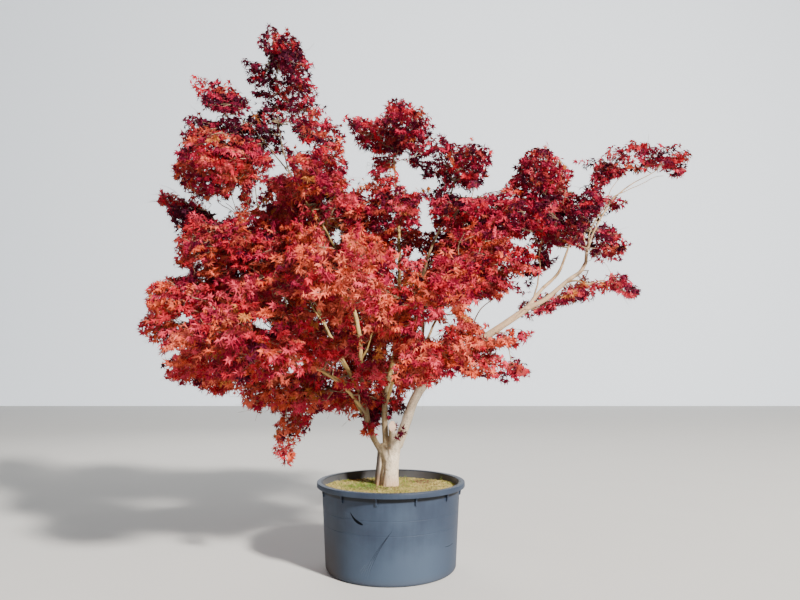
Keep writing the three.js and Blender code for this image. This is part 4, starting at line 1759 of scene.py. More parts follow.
@dataclass
class Wood:
    """The trunk and boughs: stout wood grown into one skin, and slender bough ends."""

    voxel: float = 0.0052
    relax_share: float = 0.5
    relax_turns: int = 6
    flare_height: float = 0.070
    flare_lobes: int = 5
    flare_depth: float = 0.30
    stout_sides: int = 20
    muscles: Waves = (17, 2)
    muscles_drawn: Point = (1, 1, 0.28)
    muscle_height: float = 0.0042
    plates: Waves = (70, 3)
    plates_drawn: Point = (1, 1, 0.45)
    plate_height: float = 0.0013
    full_relief: float = 0.05
    relief_shares: Span = (0.25, 1.2)
    cut_reach: float = 0.075
    cut_edge: float = 0.005
    cut_skim: float = 0.001
    foot_depth: float = 0.02
    slender_sides: int = 9
    slender_step: float = 0.022
    slender_sway: Sway = Sway((5.5, 2), 0.007, 0.25, (0, 31, 67))
    overlap: float = 0.10
    knobs: Waves = (22, 3)
    swellings: Waves = (9, 1)
    swelling_shift: float = 9
    knob_height: float = 0.10
    branch_sides: int = 6
    branch_sway: Sway = Sway((7.5, 2), 0.010, 0.15, (5, 23, 41))

    def flared(self, limb: Limb, line: Array, radii: Array) -> Array:
        """Radii by point and side, widened into buttresses at the foot.

        Args:
            limb: The stem or bough.
            line: Points along its middle.
            radii: Its radius at each point.

        Returns:
            The radii, a row for each point.
        """
        turn = np.linspace(0, FULL_TURN, self.stout_sides, endpoint=False)
        lobe = 1 + self.flare_depth * np.cos(self.flare_lobes * turn)
        rise = np.maximum(line[:, 2] - TRUNK_FOOT, 0)[:, None]
        return radii[:, None] * (1 + limb.flare * lobe * np.exp(-rise / self.flare_height))

    def stout_shapes(self) -> list[Shape]:
        """Every stem, and the first stretch of every bough, as plain tubes.

        Returns:
            The tubes.
        """
        shapes = []
        for limb in STOUT_LIMBS:
            line = limb.line()
            far = distances_along(line)
            keep = far <= limb.stout
            if keep.sum() > 2:
                radii = self.flared(limb, line, limb.radius_at(far))
                shapes.append(tube(line[keep], radii[keep], self.stout_sides))
            if limb is CUT_STUB:
                shapes[-1].points = self.sawn(shapes[-1].points, unit(line[-1] - line[-2]))
        return shapes

    @staticmethod
    def sawn(points: Array, along: Array) -> Array:
        """The stub's points with those beyond the slanting cut drawn back to it along the stub."""
        beyond = np.maximum((points - CUT_CENTRE) @ CUT_FACING, 0.0) / (along @ CUT_FACING)
        return points - along * beyond[:, None]

    @staticmethod
    def grain_of(points: Array) -> Array:
        """The place of each point in the straightened limb that it is on.

        Args:
            points: Points on the stout wood's skin.

        Returns:
            The places as rows.
        """
        rows = []
        for limb in STOUT_LIMBS:
            line = limb.line()
            rows.append((line, *carried_frames(line), distances_along(line)[:, None]))
        centres, along, first, second, far = (np.vstack(part) for part in zip(*rows))
        finder = search_tree(centres)
        nearest = np.array([finder.find(point)[1] for point in points])
        offset = points - centres[nearest]
        across = [np.einsum("ij,ij->i", offset, axis[nearest]) for axis in (first, second, along)]
        return np.stack([across[0], across[1], far[nearest, 0] + across[2]], 1)

    def stout_mesh(self) -> Mesh:
        """The stout wood fused by remeshing and relaxed, then given its bark relief.

        Returns:
            The mesh, with the sawn end's finish number on its faces.
        """
        holder = placed("stout_raw", make_mesh("stout_raw", Shape.joined(self.stout_shapes()), True))
        fuse = holder.modifiers.new("fuse", "REMESH")
        fuse.mode = "VOXEL"
        fuse.voxel_size = self.voxel
        relax = holder.modifiers.new("relax", "SMOOTH")
        relax.factor = self.relax_share
        relax.iterations = self.relax_turns
        graph = bpy.context.evaluated_depsgraph_get()
        mesh = bpy.data.meshes.new_from_object(holder.evaluated_get(graph), depsgraph=graph)
        bpy.data.objects.remove(holder)
        self.carve(mesh)
        return mesh

    def carve(self, mesh: Mesh) -> None:
        """Moves the skin in and out as muscle and bark plates, and stores the grain.

        Args:
            mesh: The fused wood.
        """
        count = len(mesh.vertices)
        points, normals = np.zeros(3 * count, np.float32), np.zeros(3 * count, np.float32)
        mesh.vertices.foreach_get("co", points)
        mesh.vertices.foreach_get("normal", normals)
        points, normals = points.reshape(-1, 3).astype(float), normals.reshape(-1, 3)
        grain = self.grain_of(points)
        share = np.clip(np.hypot(grain[:, 0], grain[:, 1]) / self.full_relief, *self.relief_shares)
        muscle = rough(grain * self.muscles_drawn, *self.muscles) * self.muscle_height
        plates = rough(grain * self.plates_drawn, *self.plates) * self.plate_height
        moved = points + normals * ((muscle + plates) * share)[:, None]
        ahead = (moved - CUT_CENTRE) @ CUT_FACING
        near = np.linalg.norm(moved - CUT_CENTRE, axis=1) < self.cut_reach
        sawn = near & (ahead > -self.cut_edge)
        moved[sawn] -= CUT_FACING * (ahead[sawn] + self.cut_skim)[:, None]
        grain[sawn] = moved[sawn] - CUT_CENTRE
        moved[:, 2] = np.maximum(moved[:, 2], TRUNK_FOOT - self.foot_depth)
        mesh.vertices.foreach_set("co", moved.astype(np.float32).ravel())
        store_grain(mesh, grain)
        faces = np.array([sawn[list(p.vertices)].all() for p in mesh.polygons])
        mesh.polygons.foreach_set("material_index", faces.astype(np.int32))
        mesh.polygons.foreach_set("use_smooth", ~faces)
        mesh.update()

    def slender_shapes(self) -> list[Shape]:
        """The bough ends beyond the stout wood, knobbly and slightly crooked, and the branches.

        Returns:
            The tubes.
        """
        shapes = []
        for limb in BOUGHS:
            line = limb.line(self.slender_step)
            far = distances_along(line)
            radii = limb.radius_at(far) * limb.slimmer
            keep = far >= limb.stout - self.overlap
            if keep.sum() < 3:
                continue
            line, far, radii = line[keep], far[keep], radii[keep]
            swelling = np.maximum(rough(line + self.swelling_shift, *self.swellings), 0)
            knobs = 1 + self.knob_height * rough(line, *self.knobs) + self.knob_height * swelling
            shapes.append(tube(self.slender_sway.bent(line, far), radii * knobs, self.slender_sides))
        for limb in BRANCHES:
            line = limb.line()
            far = distances_along(line)
            shapes.append(tube(self.branch_sway.bent(line, far), limb.radius_at(far), self.branch_sides))
        return shapes

    def build(self) -> None:
        """Adds the trunk with its boughs."""
        olive, young = (0.25, 0.172, 0.072), (0.26, 0.165, 0.110)
        trunk_bark = MapleBark("trunk_bark", (0.84, 0.71, 0.54), (0.60, 0.48, 0.34), olive, young)
        gilded = (0.56, 0.37, 0.13)
        bough_bark = MapleBark(
            "bough_bark", (0.60, 0.44, 0.25), (0.38, 0.26, 0.13), gilded, young, relief=(0.0015, 0.9)
        )
        boughs = sorted({limb.name for limb in BOUGHS})
        finishes = [trunk_bark.material(), CutWood().material()]
        add_piece("trunk_and_limbs", self.stout_mesh(), finishes, [*boughs, "trunk"])
        mesh = make_mesh("bough_ends", Shape.joined(self.slender_shapes()), True)
        add_piece("bough_ends", mesh, [bough_bark.material()], boughs)


@dataclass(frozen=True)
class Oval:
    """An oval part of the photograph, in pixels."""

    across: float
    down: float
    half_width: float
    half_height: float
    least: float = 0.5

    def holds(self, pixels: Array, margin: float) -> Array:
        """Whether each pixel is in the oval, widened by a margin."""
        x = (pixels[:, 0] - self.across) / max(self.half_width + margin, self.least)
        y = (pixels[:, 1] - self.down) / max(self.half_height + margin, self.least)
        return x * x + y * y < 1


# Gaps of the crown that show the sky, from the spire down to the hem and then from the crest down.
SKY_WINDOWS = tuple(
    Oval(*sizes)
    for sizes in (
        (278, 76, 3, 4), (283, 89, 3, 3), (201, 88, 3, 4), (224, 138, 4, 3), (209, 147, 3, 3),
        (287, 130, 5, 8), (293, 142, 7, 5), (304, 147, 7, 4), (279, 169, 7, 3), (272, 173, 6, 3),
        (261, 183, 5, 7), (258, 195, 4, 6), (274, 196, 5, 2), (327, 201, 4, 3), (304, 218, 3, 3),
        (337, 235, 4, 7), (196, 264, 3, 2), (226, 269, 3, 2), (239, 272, 2, 2), (285, 300, 3, 3),
        (184, 317, 5, 3), (179, 322, 4, 4), (257, 320, 8, 3), (265, 325, 6, 5), (269, 329, 3, 3),
        (216, 333, 4, 3), (237, 336, 4, 2), (173, 354, 7, 3), (331, 382, 2, 4), (404, 166, 4, 10),
        (412, 179, 9, 12), (433, 184, 9, 6), (425, 216, 5, 20), (416, 254, 7, 6), (394, 213, 3, 3),
        (459, 190, 6, 4), (474, 192, 5, 5), (530, 235, 3, 5), (636, 158, 3, 4), (655, 172, 6, 3),
        (617, 163, 2, 3), (501, 266, 3, 3), (514, 274, 3, 4), (432, 330, 12, 8), (449, 309, 3, 5),
        (487, 309, 15, 8),
    )
)

# Where the photograph shows limbs with no leaves in front of them. Leaves in front of
# the plane are cleared away, and the limbs themselves lie at the depth.
LIMB_VIEWS = (
    Oval(357, 322, 5, 16), Oval(365, 352, 7, 13), Oval(347, 368, 8, 11), Oval(331, 369, 7, 6),
    Oval(328, 381, 8, 5), Oval(389, 362, 4, 20), Oval(392, 392, 5, 9), Oval(337, 228, 6, 24),
    Oval(450, 318, 3, 10),
)
LIMB_PLANE = 0.03
LIMB_DEPTH = 0.09


@dataclass(frozen=True)
class BareLimb:
    """A stretch of limb that the photograph shows with no leaves in front of it.

    The path and half width are in pixels, and the distance is how far behind the
    tub's axis the limb is, in metres.
    """

    path: tuple[Pixel, ...]
    half_width: float
    distance: float

    def holds(self, pixels: Array, margin: float) -> Array:
        """Whether each pixel is on the stretch, widened by a margin.

        Args:
            pixels: Pixels as rows.
            margin: Pixels by which it is widened.

        Returns:
            A truth value for each.
        """
        near = np.full(len(pixels), np.inf)
        for start, end in zip(np.array(self.path, float), np.array(self.path[1:], float)):
            run = end - start
            share = np.clip((pixels - start) @ run / (run @ run), 0.0, 1.0)
            near = np.minimum(near, np.linalg.norm(pixels - start - share[:, None] * run, axis=1))
        return near < self.half_width + margin


# From the long right limb to its forks, then the spire's stems and the leader.
BARE_LIMBS = (
    BareLimb(((490, 333), (512, 317), (528, 307)), 5.0, -0.055),
    BareLimb(((528, 307), (545, 299), (566, 283), (582, 272), (588, 250)), 3.5, -0.02),
    BareLimb(((588, 250), (592, 228), (604, 214), (616, 197), (634, 184)), 2.5, 0.04),
    BareLimb(((526, 308), (540, 291), (550, 279), (560, 266), (568, 250)), 3.5, 0.04),
    BareLimb(((290, 176), (283, 158), (279, 140), (278, 122)), 2.5, 0.09),
    BareLimb(((288, 173), (275, 158), (262, 140)), 2.0, 0.12),
    BareLimb(((333, 245), (326, 230), (318, 213), (308, 198)), 2.5, 0.09),
    BareLimb(((331, 337), (322, 322), (310, 303)), 2.0, 0.03),
    BareLimb(((364, 356), (369, 346), (373, 335)), 2.5, 0.03),
    BareLimb(((397, 285), (399, 260), (399, 228)), 1.8, 0.17),
    BareLimb(((425, 275), (431, 255), (439, 230)), 1.8, 0.14),
    BareLimb(((392, 421), (393, 432)), 4.0, 0.02),
)
# Places on the fork that the sun reaches, and the direction of the sun.
SUNLIT_FORK = (
    (0.011, 0.030, 1.070), (0.011, 0.020, 1.120), (0.110, 0.045, 1.080), (0.150, 0.040, 1.180),
    (0.190, 0.030, 1.280), (0.230, 0.020, 1.380), (-0.060, 0.060, 1.020), (-0.052, 0.075, 1.160),
)
SUNWARD = np.array((0.568, -0.609, 0.554))


@dataclass(frozen=True)
class CrownPatch:
    """A part of the crown as the photograph shows it: its outline in pixels."""

    corners: tuple[Pixel, ...]

    def holds(self, pixels: Array) -> Array:
        """Whether each pixel is inside the outline.

        Args:
            pixels: Pixels as rows.

        Returns:
            A truth value for each.
        """
        inside = np.zeros(len(pixels), bool)
        x, y = pixels.T
        for (ax, ay), (bx, by) in zip(self.corners, self.corners[1:] + self.corners[:1]):
            if ay != by:
                inside ^= ((ay > y) != (by > y)) & (x < ax + (y - ay) * (bx - ax) / (by - ay))
        return inside


CROWN_PATCHES = (
    # The spire.
    CrownPatch((
        (255, 43), (269, 27), (289, 25), (301, 45), (311, 70), (315, 97), (330, 115), (344, 138),
        (349, 192), (300, 225), (240, 200), (251, 112), (265, 109), (250, 91), (241, 56), (258, 62),
        (264, 70), (269, 63))),
    # The leaves that float to the left of it.
    CrownPatch((
        (192, 75), (205, 76), (231, 88), (248, 98), (248, 110), (239, 114), (218, 113), (203, 104),
        (194, 88))),
    # The band below them.
    CrownPatch((
        (183, 119), (200, 112), (213, 121), (242, 118), (265, 109), (300, 180), (300, 235), (250, 235),
        (243, 206), (246, 188), (238, 186), (227, 198), (213, 196), (208, 202), (192, 195), (181, 183),
        (168, 171), (179, 160), (177, 146), (187, 131))),
    # The left and the heart.
    CrownPatch((
        (153, 191), (164, 192), (184, 200), (198, 203), (206, 208), (218, 221), (227, 221), (241, 206),
        (300, 200), (350, 192), (350, 340), (240, 390), (220, 396), (206, 393),
        (190, 383), (166, 381), (163, 372), (166, 361), (140, 328), (140, 318), (150, 315), (145, 299),
        (153, 281), (192, 272), (170, 263), (178, 256), (174, 246), (182, 233), (173, 229), (171, 213))),
    # The hem.
    CrownPatch((
        (240, 360), (350, 330), (450, 300), (470, 380), (449, 374), (432, 387), (410, 390), (398, 399),
        (375, 408), (364, 413), (356, 420), (341, 415), (327, 409), (316, 415), (303, 410), (313, 423),
        (311, 429), (298, 434), (300, 444), (273, 446), (276, 427), (284, 413), (262, 409), (255, 415),
        (239, 401), (246, 393))),
    # The crest and the middle.
    CrownPatch((
        (341, 119), (355, 115), (378, 119), (389, 112), (383, 103), (400, 98), (431, 115), (433, 129),
        (457, 144), (478, 138), (491, 146), (495, 159), (481, 184), (470, 201), (489, 190), (517, 191),
        (530, 280), (450, 320), (350, 345), (349, 192), (369, 182), (376, 161), (372, 153), (358, 149),
        (353, 134))),
    # The dome and the tip, with the leaves that hang below them.
    CrownPatch((
        (514, 176), (518, 160), (532, 145), (546, 146), (556, 158), (568, 163), (575, 177), (565, 195),
        (583, 192), (598, 160), (610, 147), (638, 140), (653, 146), (687, 144), (693, 157), (684, 164),
        (687, 170), (677, 181), (671, 169), (661, 178), (630, 172), (613, 181), (606, 195), (627, 203),
        (592, 227), (616, 226), (629, 247), (624, 256), (601, 264), (573, 244), (535, 247), (561, 255),
        (557, 265), (531, 285), (503, 304), (480, 290), (500, 192))),
    # The skirt on the long right limb.
    CrownPatch((
        (500, 315), (526, 299), (564, 285), (586, 273), (598, 281), (607, 275), (633, 271), (625, 284),
        (639, 291), (638, 301), (604, 291), (583, 302), (566, 302), (546, 314), (524, 314), (508, 322))),
    # The low leaves on the right.
    CrownPatch((
        (430, 340), (445, 316), (471, 315), (487, 326), (503, 322), (515, 327), (532, 331), (531, 337),
        (514, 348), (500, 345), (487, 356), (511, 359), (530, 366), (535, 372), (510, 382), (494, 376),
        (465, 379), (430, 380))),
)


@dataclass(frozen=True)
class Clump:
    """A few sprays beside the masses, by the pixel of their middle.

    The distance is how far behind the tub's axis they hang, in metres. A clump that
    stands apart keeps its leaves outside the crown's outline too. Without a palette of
    its own a clump has the nearest mass's.
    """

    name: str
    pixel: Pixel
    distance: float
    spread: float
    count: int
    apart: bool = False
    palette: Palette | None = None


# The dusky clumps at the fork and under the left tip are painted shade.
CLUMPS = (
    Clump("fork_tuft", (368, 428), 0.03, 0.014, 3, True),
    Clump("crotch_tuft", (398, 431), 0.02, 0.011, 3, True, Palette.DUSKY),
    Clump("between_forks", (374, 416), 0.14, 0.030, 14, True, Palette.DUSKY),
    Clump("over_forks", (378, 403), 0.20, 0.045, 22, True, Palette.DUSKY),
    Clump("beside_middle", (396, 403), 0.10, 0.030, 12, True, Palette.DEEP),
    Clump("hanging_tuft", (287, 451), -0.30, 0.028, 6, True),
    Clump("bare_shoot_tuft", (584, 162), 0.05, 0.012, 2, True),
    Clump("spire_foot", (278, 106), 0.08, 0.060, 9),
    Clump("left_inlet", (252, 212), 0.05, 0.060, 10),
    Clump("skirt_fork", (616, 280), 0.00, 0.045, 9),
    Clump("skirt_tip", (628, 292), 0.00, 0.045, 9),
    Clump("low_right_tip", (521, 369), -0.05, 0.050, 10),
    Clump("low_left_edge", (150, 333), 0.00, 0.050, 8),
    Clump("hem_left", (252, 402), -0.25, 0.060, 12),
    Clump("hem_middle", (312, 396), -0.15, 0.060, 12),
    Clump("hem_inner", (352, 395), 0.00, 0.060, 12),
    Clump("hem_right", (378, 393), 0.06, 0.060, 12),
    Clump("dome_foot", (546, 257), 0.05, 0.050, 16, False, Palette.CRIMSONED),
    Clump("dome_drop", (531, 272), 0.05, 0.050, 14, False, Palette.DEEP),
    Clump("crest_stalk", (374, 168), 0.10, 0.040, 6),
    Clump("behind_left_limb", (338, 375), 0.34, 0.120, 60),
    Clump("behind_fork_limb", (362, 350), 0.42, 0.120, 60),
    Clump("behind_middle_limb", (392, 366), 0.40, 0.120, 60),
    Clump("behind_inner_limb", (357, 318), 0.44, 0.110, 40),
    Clump("behind_low_limb", (368, 395), 0.36, 0.100, 40),
    Clump("behind_right_limb", (416, 378), 0.34, 0.090, 30),
    Clump("spire_heart", (285, 65), 0.10, 0.090, 26),
    Clump("spire_waist", (292, 105), 0.10, 0.090, 26),
    Clump("tip_heart", (655, 158), 0.04, 0.080, 8),
    Clump("tip_root", (612, 165), 0.04, 0.060, 7),
    Clump("column_top", (385, 186), 0.13, 0.060, 18),
    Clump("column_left", (361, 189), 0.10, 0.045, 10),
    Clump("column_right", (409, 196), 0.12, 0.045, 9),
    Clump("crest_hanging", (447, 188), 0.13, 0.035, 7, False, Palette.DEEP),
    Clump("stalk_leaves", (381, 173), 0.12, 0.050, 10),
    Clump("behind_low_left", (314, 384), 0.36, 0.120, 50),
    Clump("behind_low_fork", (343, 394), 0.36, 0.100, 34),
    Clump("float_heart", (221, 95), 0.10, 0.085, 30),
    Clump("left_tip_end", (163, 196), -0.07, 0.045, 20, False, Palette.ROSY),
    Clump("left_tip_heart", (180, 211), 0.00, 0.065, 22, False, Palette.DEEP),
    Clump("left_tip_root", (204, 222), 0.02, 0.075, 30, False, Palette.DUSKY),
    Clump("left_tip_foot", (232, 228), 0.04, 0.070, 20, False, Palette.DUSKY),
    Clump("tip_neck", (597, 184), 0.05, 0.070, 24, False, Palette.CRIMSONED),
    Clump("neck_foot", (590, 205), 0.05, 0.055, 18, False, Palette.CRIMSONED),
    Clump("neck_spray", (617, 203), 0.04, 0.034, 9, False, Palette.CRIMSONED),
    Clump("dome_spray", (610, 228), 0.04, 0.030, 6, False, Palette.CRIMSONED),
    Clump("tip_hanging", (681, 172), 0.03, 0.028, 7, False, Palette.DEEP),
    Clump("skirt_root", (528, 311), 0.03, 0.045, 14, False, Palette.CRIMSONED),
    Clump("skirt_bed", (552, 302), 0.03, 0.045, 12, False, Palette.CRIMSONED),
    Clump("drop_heart", (612, 245), 0.04, 0.070, 20, False, Palette.CRIMSONED),
)


@dataclass(frozen=True)
class Ripple:
    """How far a ragged edge wavers to one side, in pixels: one bent wave and a finer one."""

    height: float
    rate: float
    bend: float
    bend_rate: float
    fine_height: float
    fine_rate: float
    fine_slant: float

    def at(self, along: Array, aside: Array) -> Array:
        """How far the edge wavers at places along and aside of it."""
        bent = self.rate * along + self.bend * np.sin(self.bend_rate * aside)
        fine = self.fine_rate * along + self.fine_slant * aside
        return self.height * np.sin(bent) + self.fine_height * np.sin(fine)


ACROSS_RIPPLE = Ripple(2.1, 0.61, 1.7, 0.23, 1.3, 1.31, 0.7)
DOWN_RIPPLE = Ripple(1.9, 0.57, 1.9, 0.27, 1.2, 1.17, -0.8)


def wavering(pixels: Array) -> Array:
    """Pixels moved to and fro a little, which makes the edge of a window ragged."""
    x, y = pixels.T
    return np.stack([x + ACROSS_RIPPLE.at(y, x), y + DOWN_RIPPLE.at(x, y)], 1)


def in_outline(pixels: Array, margin: float) -> Array:
    """Whether each pixel is on the crown and not in a sky window widened by a margin.

    Args:
        pixels: Pixels as rows.
        margin: Pixels by which the windows are widened.

    Returns:
        A truth value for each.
    """
    crown = np.any([patch.holds(pixels) for patch in CROWN_PATCHES], axis=0)
    ragged = wavering(pixels)
    return crown & ~np.any([window.holds(ragged, margin) for window in SKY_WINDOWS], axis=0)


def hides_limbs(points: Array, pixels: Array, margin: float) -> Array:
    """Whether each point stands in front of a limb that the photograph shows.

    Args:
        points: Points as rows.
        pixels: Where they show.
        margin: Pixels by which the limbs are widened.

    Returns:
        A truth value for each.
    """
    seen = np.any([view.holds(pixels, margin) for view in LIMB_VIEWS], axis=0)
    hiding = (points[:, 1] < LIMB_PLANE) & seen
    for limb in BARE_LIMBS:
        hiding |= (points[:, 1] < limb.distance) & limb.holds(pixels, margin)
    return hiding


def shades_limbs(points: Array, spots: Array, width: float) -> Array:
    """Whether each point stands in the light of one of the spots.

    Args:
        points: Points as rows.
        spots: Places that the sun reaches.
        width: How far from a spot's ray a point shades it.

    Returns:
        A truth value for each.
    """
    shading = np.zeros(len(points), bool)
    for spot in spots:
        step = points - spot
        ahead = step @ SUNWARD
        aside = np.linalg.norm(step - ahead[:, None] * SUNWARD, axis=1)
        shading |= (ahead > 0) & (aside < width)
    return shading


@dataclass
class FoliageMass:
    """One mass of the crown: its solid in the frame, its leaves' palette and piece, and its fullness."""

    node: str
    palette: Palette
    piece: str
    fill: float

    def __post_init__(self) -> None:
        """Reads the solid that bounds the mass."""
        mesh = frame["nodes"][self.node].data
        corners = [v.co.copy() for v in mesh.vertices]
        self.skin = BVHTree.FromPolygons(corners, [tuple(p.vertices) for p in mesh.polygons])
        points = np.array(corners)
        self.low, self.high = points.min(0), points.max(0)
        self.centre = (self.low + self.high) / 2

    def depth(self, point: Array) -> tuple[float, Array]:
        """How deep a point is under the skin, and the skin's direction there.

        Args:
            point: The point.

        Returns:
            The depth, below 0 outside, and the direction out of the mass.
        """
        place, normal, _, distance = self.skin.find_nearest(Vector(point))
        inside = (Vector(point) - place).dot(normal) < 0
        return (distance if inside else -distance), np.array(normal)


# The masses' nodes with their palettes, by the piece of foliage that they belong to.
# The dusky palette paints shade on the shaded upper left, and the fiery one paints
# sunlight on the low front.
FOLIAGE = {
    "leaves_left_top": {
        "foliage_spire_top": Palette.DEEP, "foliage_spire_side": Palette.DUSKY,
        "foliage_spire_arm": Palette.DUSKY, "foliage_left_float": Palette.CRIMSONED,
        "foliage_left_band": Palette.DUSKY, "foliage_shoulder": Palette.CRIMSONED,
        "foliage_left_upper": Palette.BRICKED, "foliage_centre_upper": Palette.BRICKED,
        "foliage_left_tip": Palette.DUSKY,
    },
    "leaves_left": {
        "foliage_left_mid": Palette.BRICKED, "foliage_left_wide": Palette.ROSY,
        "foliage_left_low": Palette.FIERY, "foliage_heart_left": Palette.BRICKED,
        "foliage_heart": Palette.BRICKED,
    },
    "leaves_low": {
        "foliage_hem": Palette.FIERY, "foliage_tail": Palette.ROSY, "foliage_low_front": Palette.ROSY,
        "foliage_front_left": Palette.ROSY, "foliage_front_centre": Palette.FIERY,
        "foliage_front_right": Palette.FIERY, "foliage_low_centre": Palette.FIERY,
    },
    "leaves_right": {
        "foliage_crest": Palette.CRIMSONED, "foliage_crest_right": Palette.DEEP,
        "foliage_crest_back": Palette.DEEP, "foliage_column": Palette.BRICKED,
        "foliage_dome": Palette.CRIMSONED, "foliage_right_upper": Palette.CRIMSONED,
        "foliage_right_mid": Palette.BRICKED, "foliage_right_outer": Palette.CRIMSONED,
        "foliage_tip_inner": Palette.CRIMSONED, "foliage_tip": Palette.CRIMSONED,
        "foliage_drop_right": Palette.CRIMSONED, "foliage_skirt_right": Palette.CRIMSONED,
        "foliage_skirt_inner": Palette.CRIMSONED, "foliage_low_right": Palette.FIERY,
        "foliage_low_right_tip": Palette.CRIMSONED,
    },
    "leaves_back": {
        "foliage_back_left": Palette.CRIMSONED, "foliage_back_centre": Palette.BRICKED,
        "foliage_back_right": Palette.CRIMSONED, "foliage_back_high": Palette.BRICKED,
    },
}


# The share of its sprays that a mass keeps, where the sky shows through it or at the back.
FILLS = {
    "foliage_spire_side": 0.90, "foliage_spire_arm": 0.90, "foliage_left_band": 0.86,
    "foliage_left_tip": 0.90, "foliage_shoulder": 0.80, "foliage_crest_right": 0.85,
    "foliage_left_upper": 0.86, "foliage_dome": 0.86, "foliage_tip": 0.66, "foliage_tip_inner": 0.76,
    "foliage_back_left": 0.62, "foliage_back_centre": 0.62, "foliage_back_right": 0.62,
    "foliage_back_high": 0.62,
}


@dataclass
class SprayPlan:
    """Where the sprays of leaves sit: in drooping layers in and close round every mass."""

    view: Viewpoint
    pitch: float = 0.057
    layer_pitch: float = 0.118
    layer_jitter: float = 0.024
    droop: float = 0.13
    billows: Waves = (2.4, 1)
    billow_height: float = 0.05
    swell: float = 0.105
    swells: Waves = (3.4, 2)
    swell_share: float = 0.62
    swell_gain: float = 0.9
    least_swell: float = 0.1
    spacing: float = 0.050
    full_depth: float = 0.12
    core_share: float = 0.30
    core_depth: float = 0.30
    patches: Waves = (4.6, 2)
    patch_limit: float = -0.30
    outline_margin: float = 2.5
    outline_probes: int = 6
    outline_share: float = 0.6
    window_margin: float = 1.5
    beam: float = 0.040
    view_rows: Point = (-0.6, 0.0, 0.6)

    def __post_init__(self) -> None:
        """Finds the spots on the limbs that the sun reaches."""
        spots = [
            self.view.point_at((view.across, view.down + row * view.half_height), LIMB_DEPTH)
            for view in LIMB_VIEWS
            for row in self.view_rows
        ]
        bare = [self.view.point_at(pixel, limb.distance) for limb in BARE_LIMBS for pixel in limb.path]
        self.spots = np.array(spots + bare + list(SUNLIT_FORK))

    def candidates(self, mass: FoliageMass, rng: Chance) -> Array:
        """Points in drooping, billowing layers round the middle of a mass.

        Args:
            mass: The mass.
            rng: Where the chances come from.

        Returns:
            The points that show in the outline and are in the box.
        """
        half = (mass.high - mass.low) / 2
        wide = half + self.swell
        across = np.arange(-wide[0], wide[0], self.pitch)
        deep = np.arange(-wide[1], wide[1], self.pitch)
        levels = np.arange(-wide[2], wide[2] + self.droop, self.layer_pitch)
        levels = levels + rng.uniform(0, self.layer_pitch)
        x, y, z = (a.ravel() for a in np.meshgrid(across, deep, levels, indexing="ij"))
        x = x + rng.uniform(-0.5, 0.5, len(x)) * self.pitch
        y = y + rng.uniform(-0.5, 0.5, len(y)) * self.pitch
        outward = np.sqrt((x / half[0]) ** 2 + (y / half[1]) ** 2)
        z = z - self.droop * outward**2 + rng.normal(0, self.layer_jitter, len(z))
        points = np.stack([x, y, z], 1) + mass.centre
        points[:, 2] += self.billow_height * rough(points * LEVEL, *self.billows)
        return points[self.shows(points) & self.boxed(points)]

    def points_in(self, mass: FoliageMass, rng: Chance) -> tuple[Array, Array]:
        """Spray points in one mass, fewer of them in its core.

        Args:
            mass: The mass.
            rng: Where the chances come from.

        Returns:
            The points, and the outward direction at each.
        """
        candidates = self.candidates(mass, rng)
        patches = rough(candidates, *self.patches)
        swells = self.swell_share + self.swell_gain * rough(candidates + mass.centre, *self.swells)
        swells = self.swell * np.clip(swells, self.least_swell, 1.0)
        chance = rng.random(len(candidates))
        points, directions = [], []
        for point, patch, swell, luck in zip(candidates, patches, swells, chance):
            depth, normal = mass.depth(point)
            if depth < -swell or patch < self.patch_limit:
                continue
            deeper = min(max(depth - self.full_depth, 0.0) / self.core_depth, 1.0)
            if luck < mass.fill * (1 - (1 - self.core_share) * deeper):
                points.append(point)
                directions.append(normal)
        return np.array(points).reshape(-1, 3), np.array(directions).reshape(-1, 3)

    def boxed(self, points: Array) -> Array:
        """Whether each point is in the frame's box."""
        low, high = np.array(FRAME_BOX)
        return np.all((points > low) & (points < high), axis=1)

    def shows(self, points: Array) -> Array:
        """Whether most of the ground round each point's pixel is in the crown's outline.

        Args:
            points: Points as rows.

        Returns:
            A truth value for each.
        """
        pixels = self.view.pixels(points)
        turns = np.linspace(0, FULL_TURN, self.outline_probes, endpoint=False)
        shifts = self.outline_margin * np.stack([np.cos(turns), np.sin(turns)], 1)
        crown = np.mean([in_outline(pixels + shift, self.window_margin) for shift in shifts], axis=0)
        hidden = hides_limbs(points, pixels, self.window_margin)
        hidden |= shades_limbs(points, self.spots, self.beam)
        return (crown > self.outline_share) & ~hidden

    def thinned(self, points: Array) -> Array:
        """Which points stay when none may stand closer to an earlier one than the spacing.

        Args:
            points: Points as rows.

        Returns:
            A truth value for each.
        """
        finder = search_tree(points)
        stay = np.ones(len(points), bool)
        for i, point in enumerate(points):
            if stay[i]:
                for _, other, _ in finder.find_range(point, self.spacing):
                    if other > i:
                        stay[other] = False
        return stay


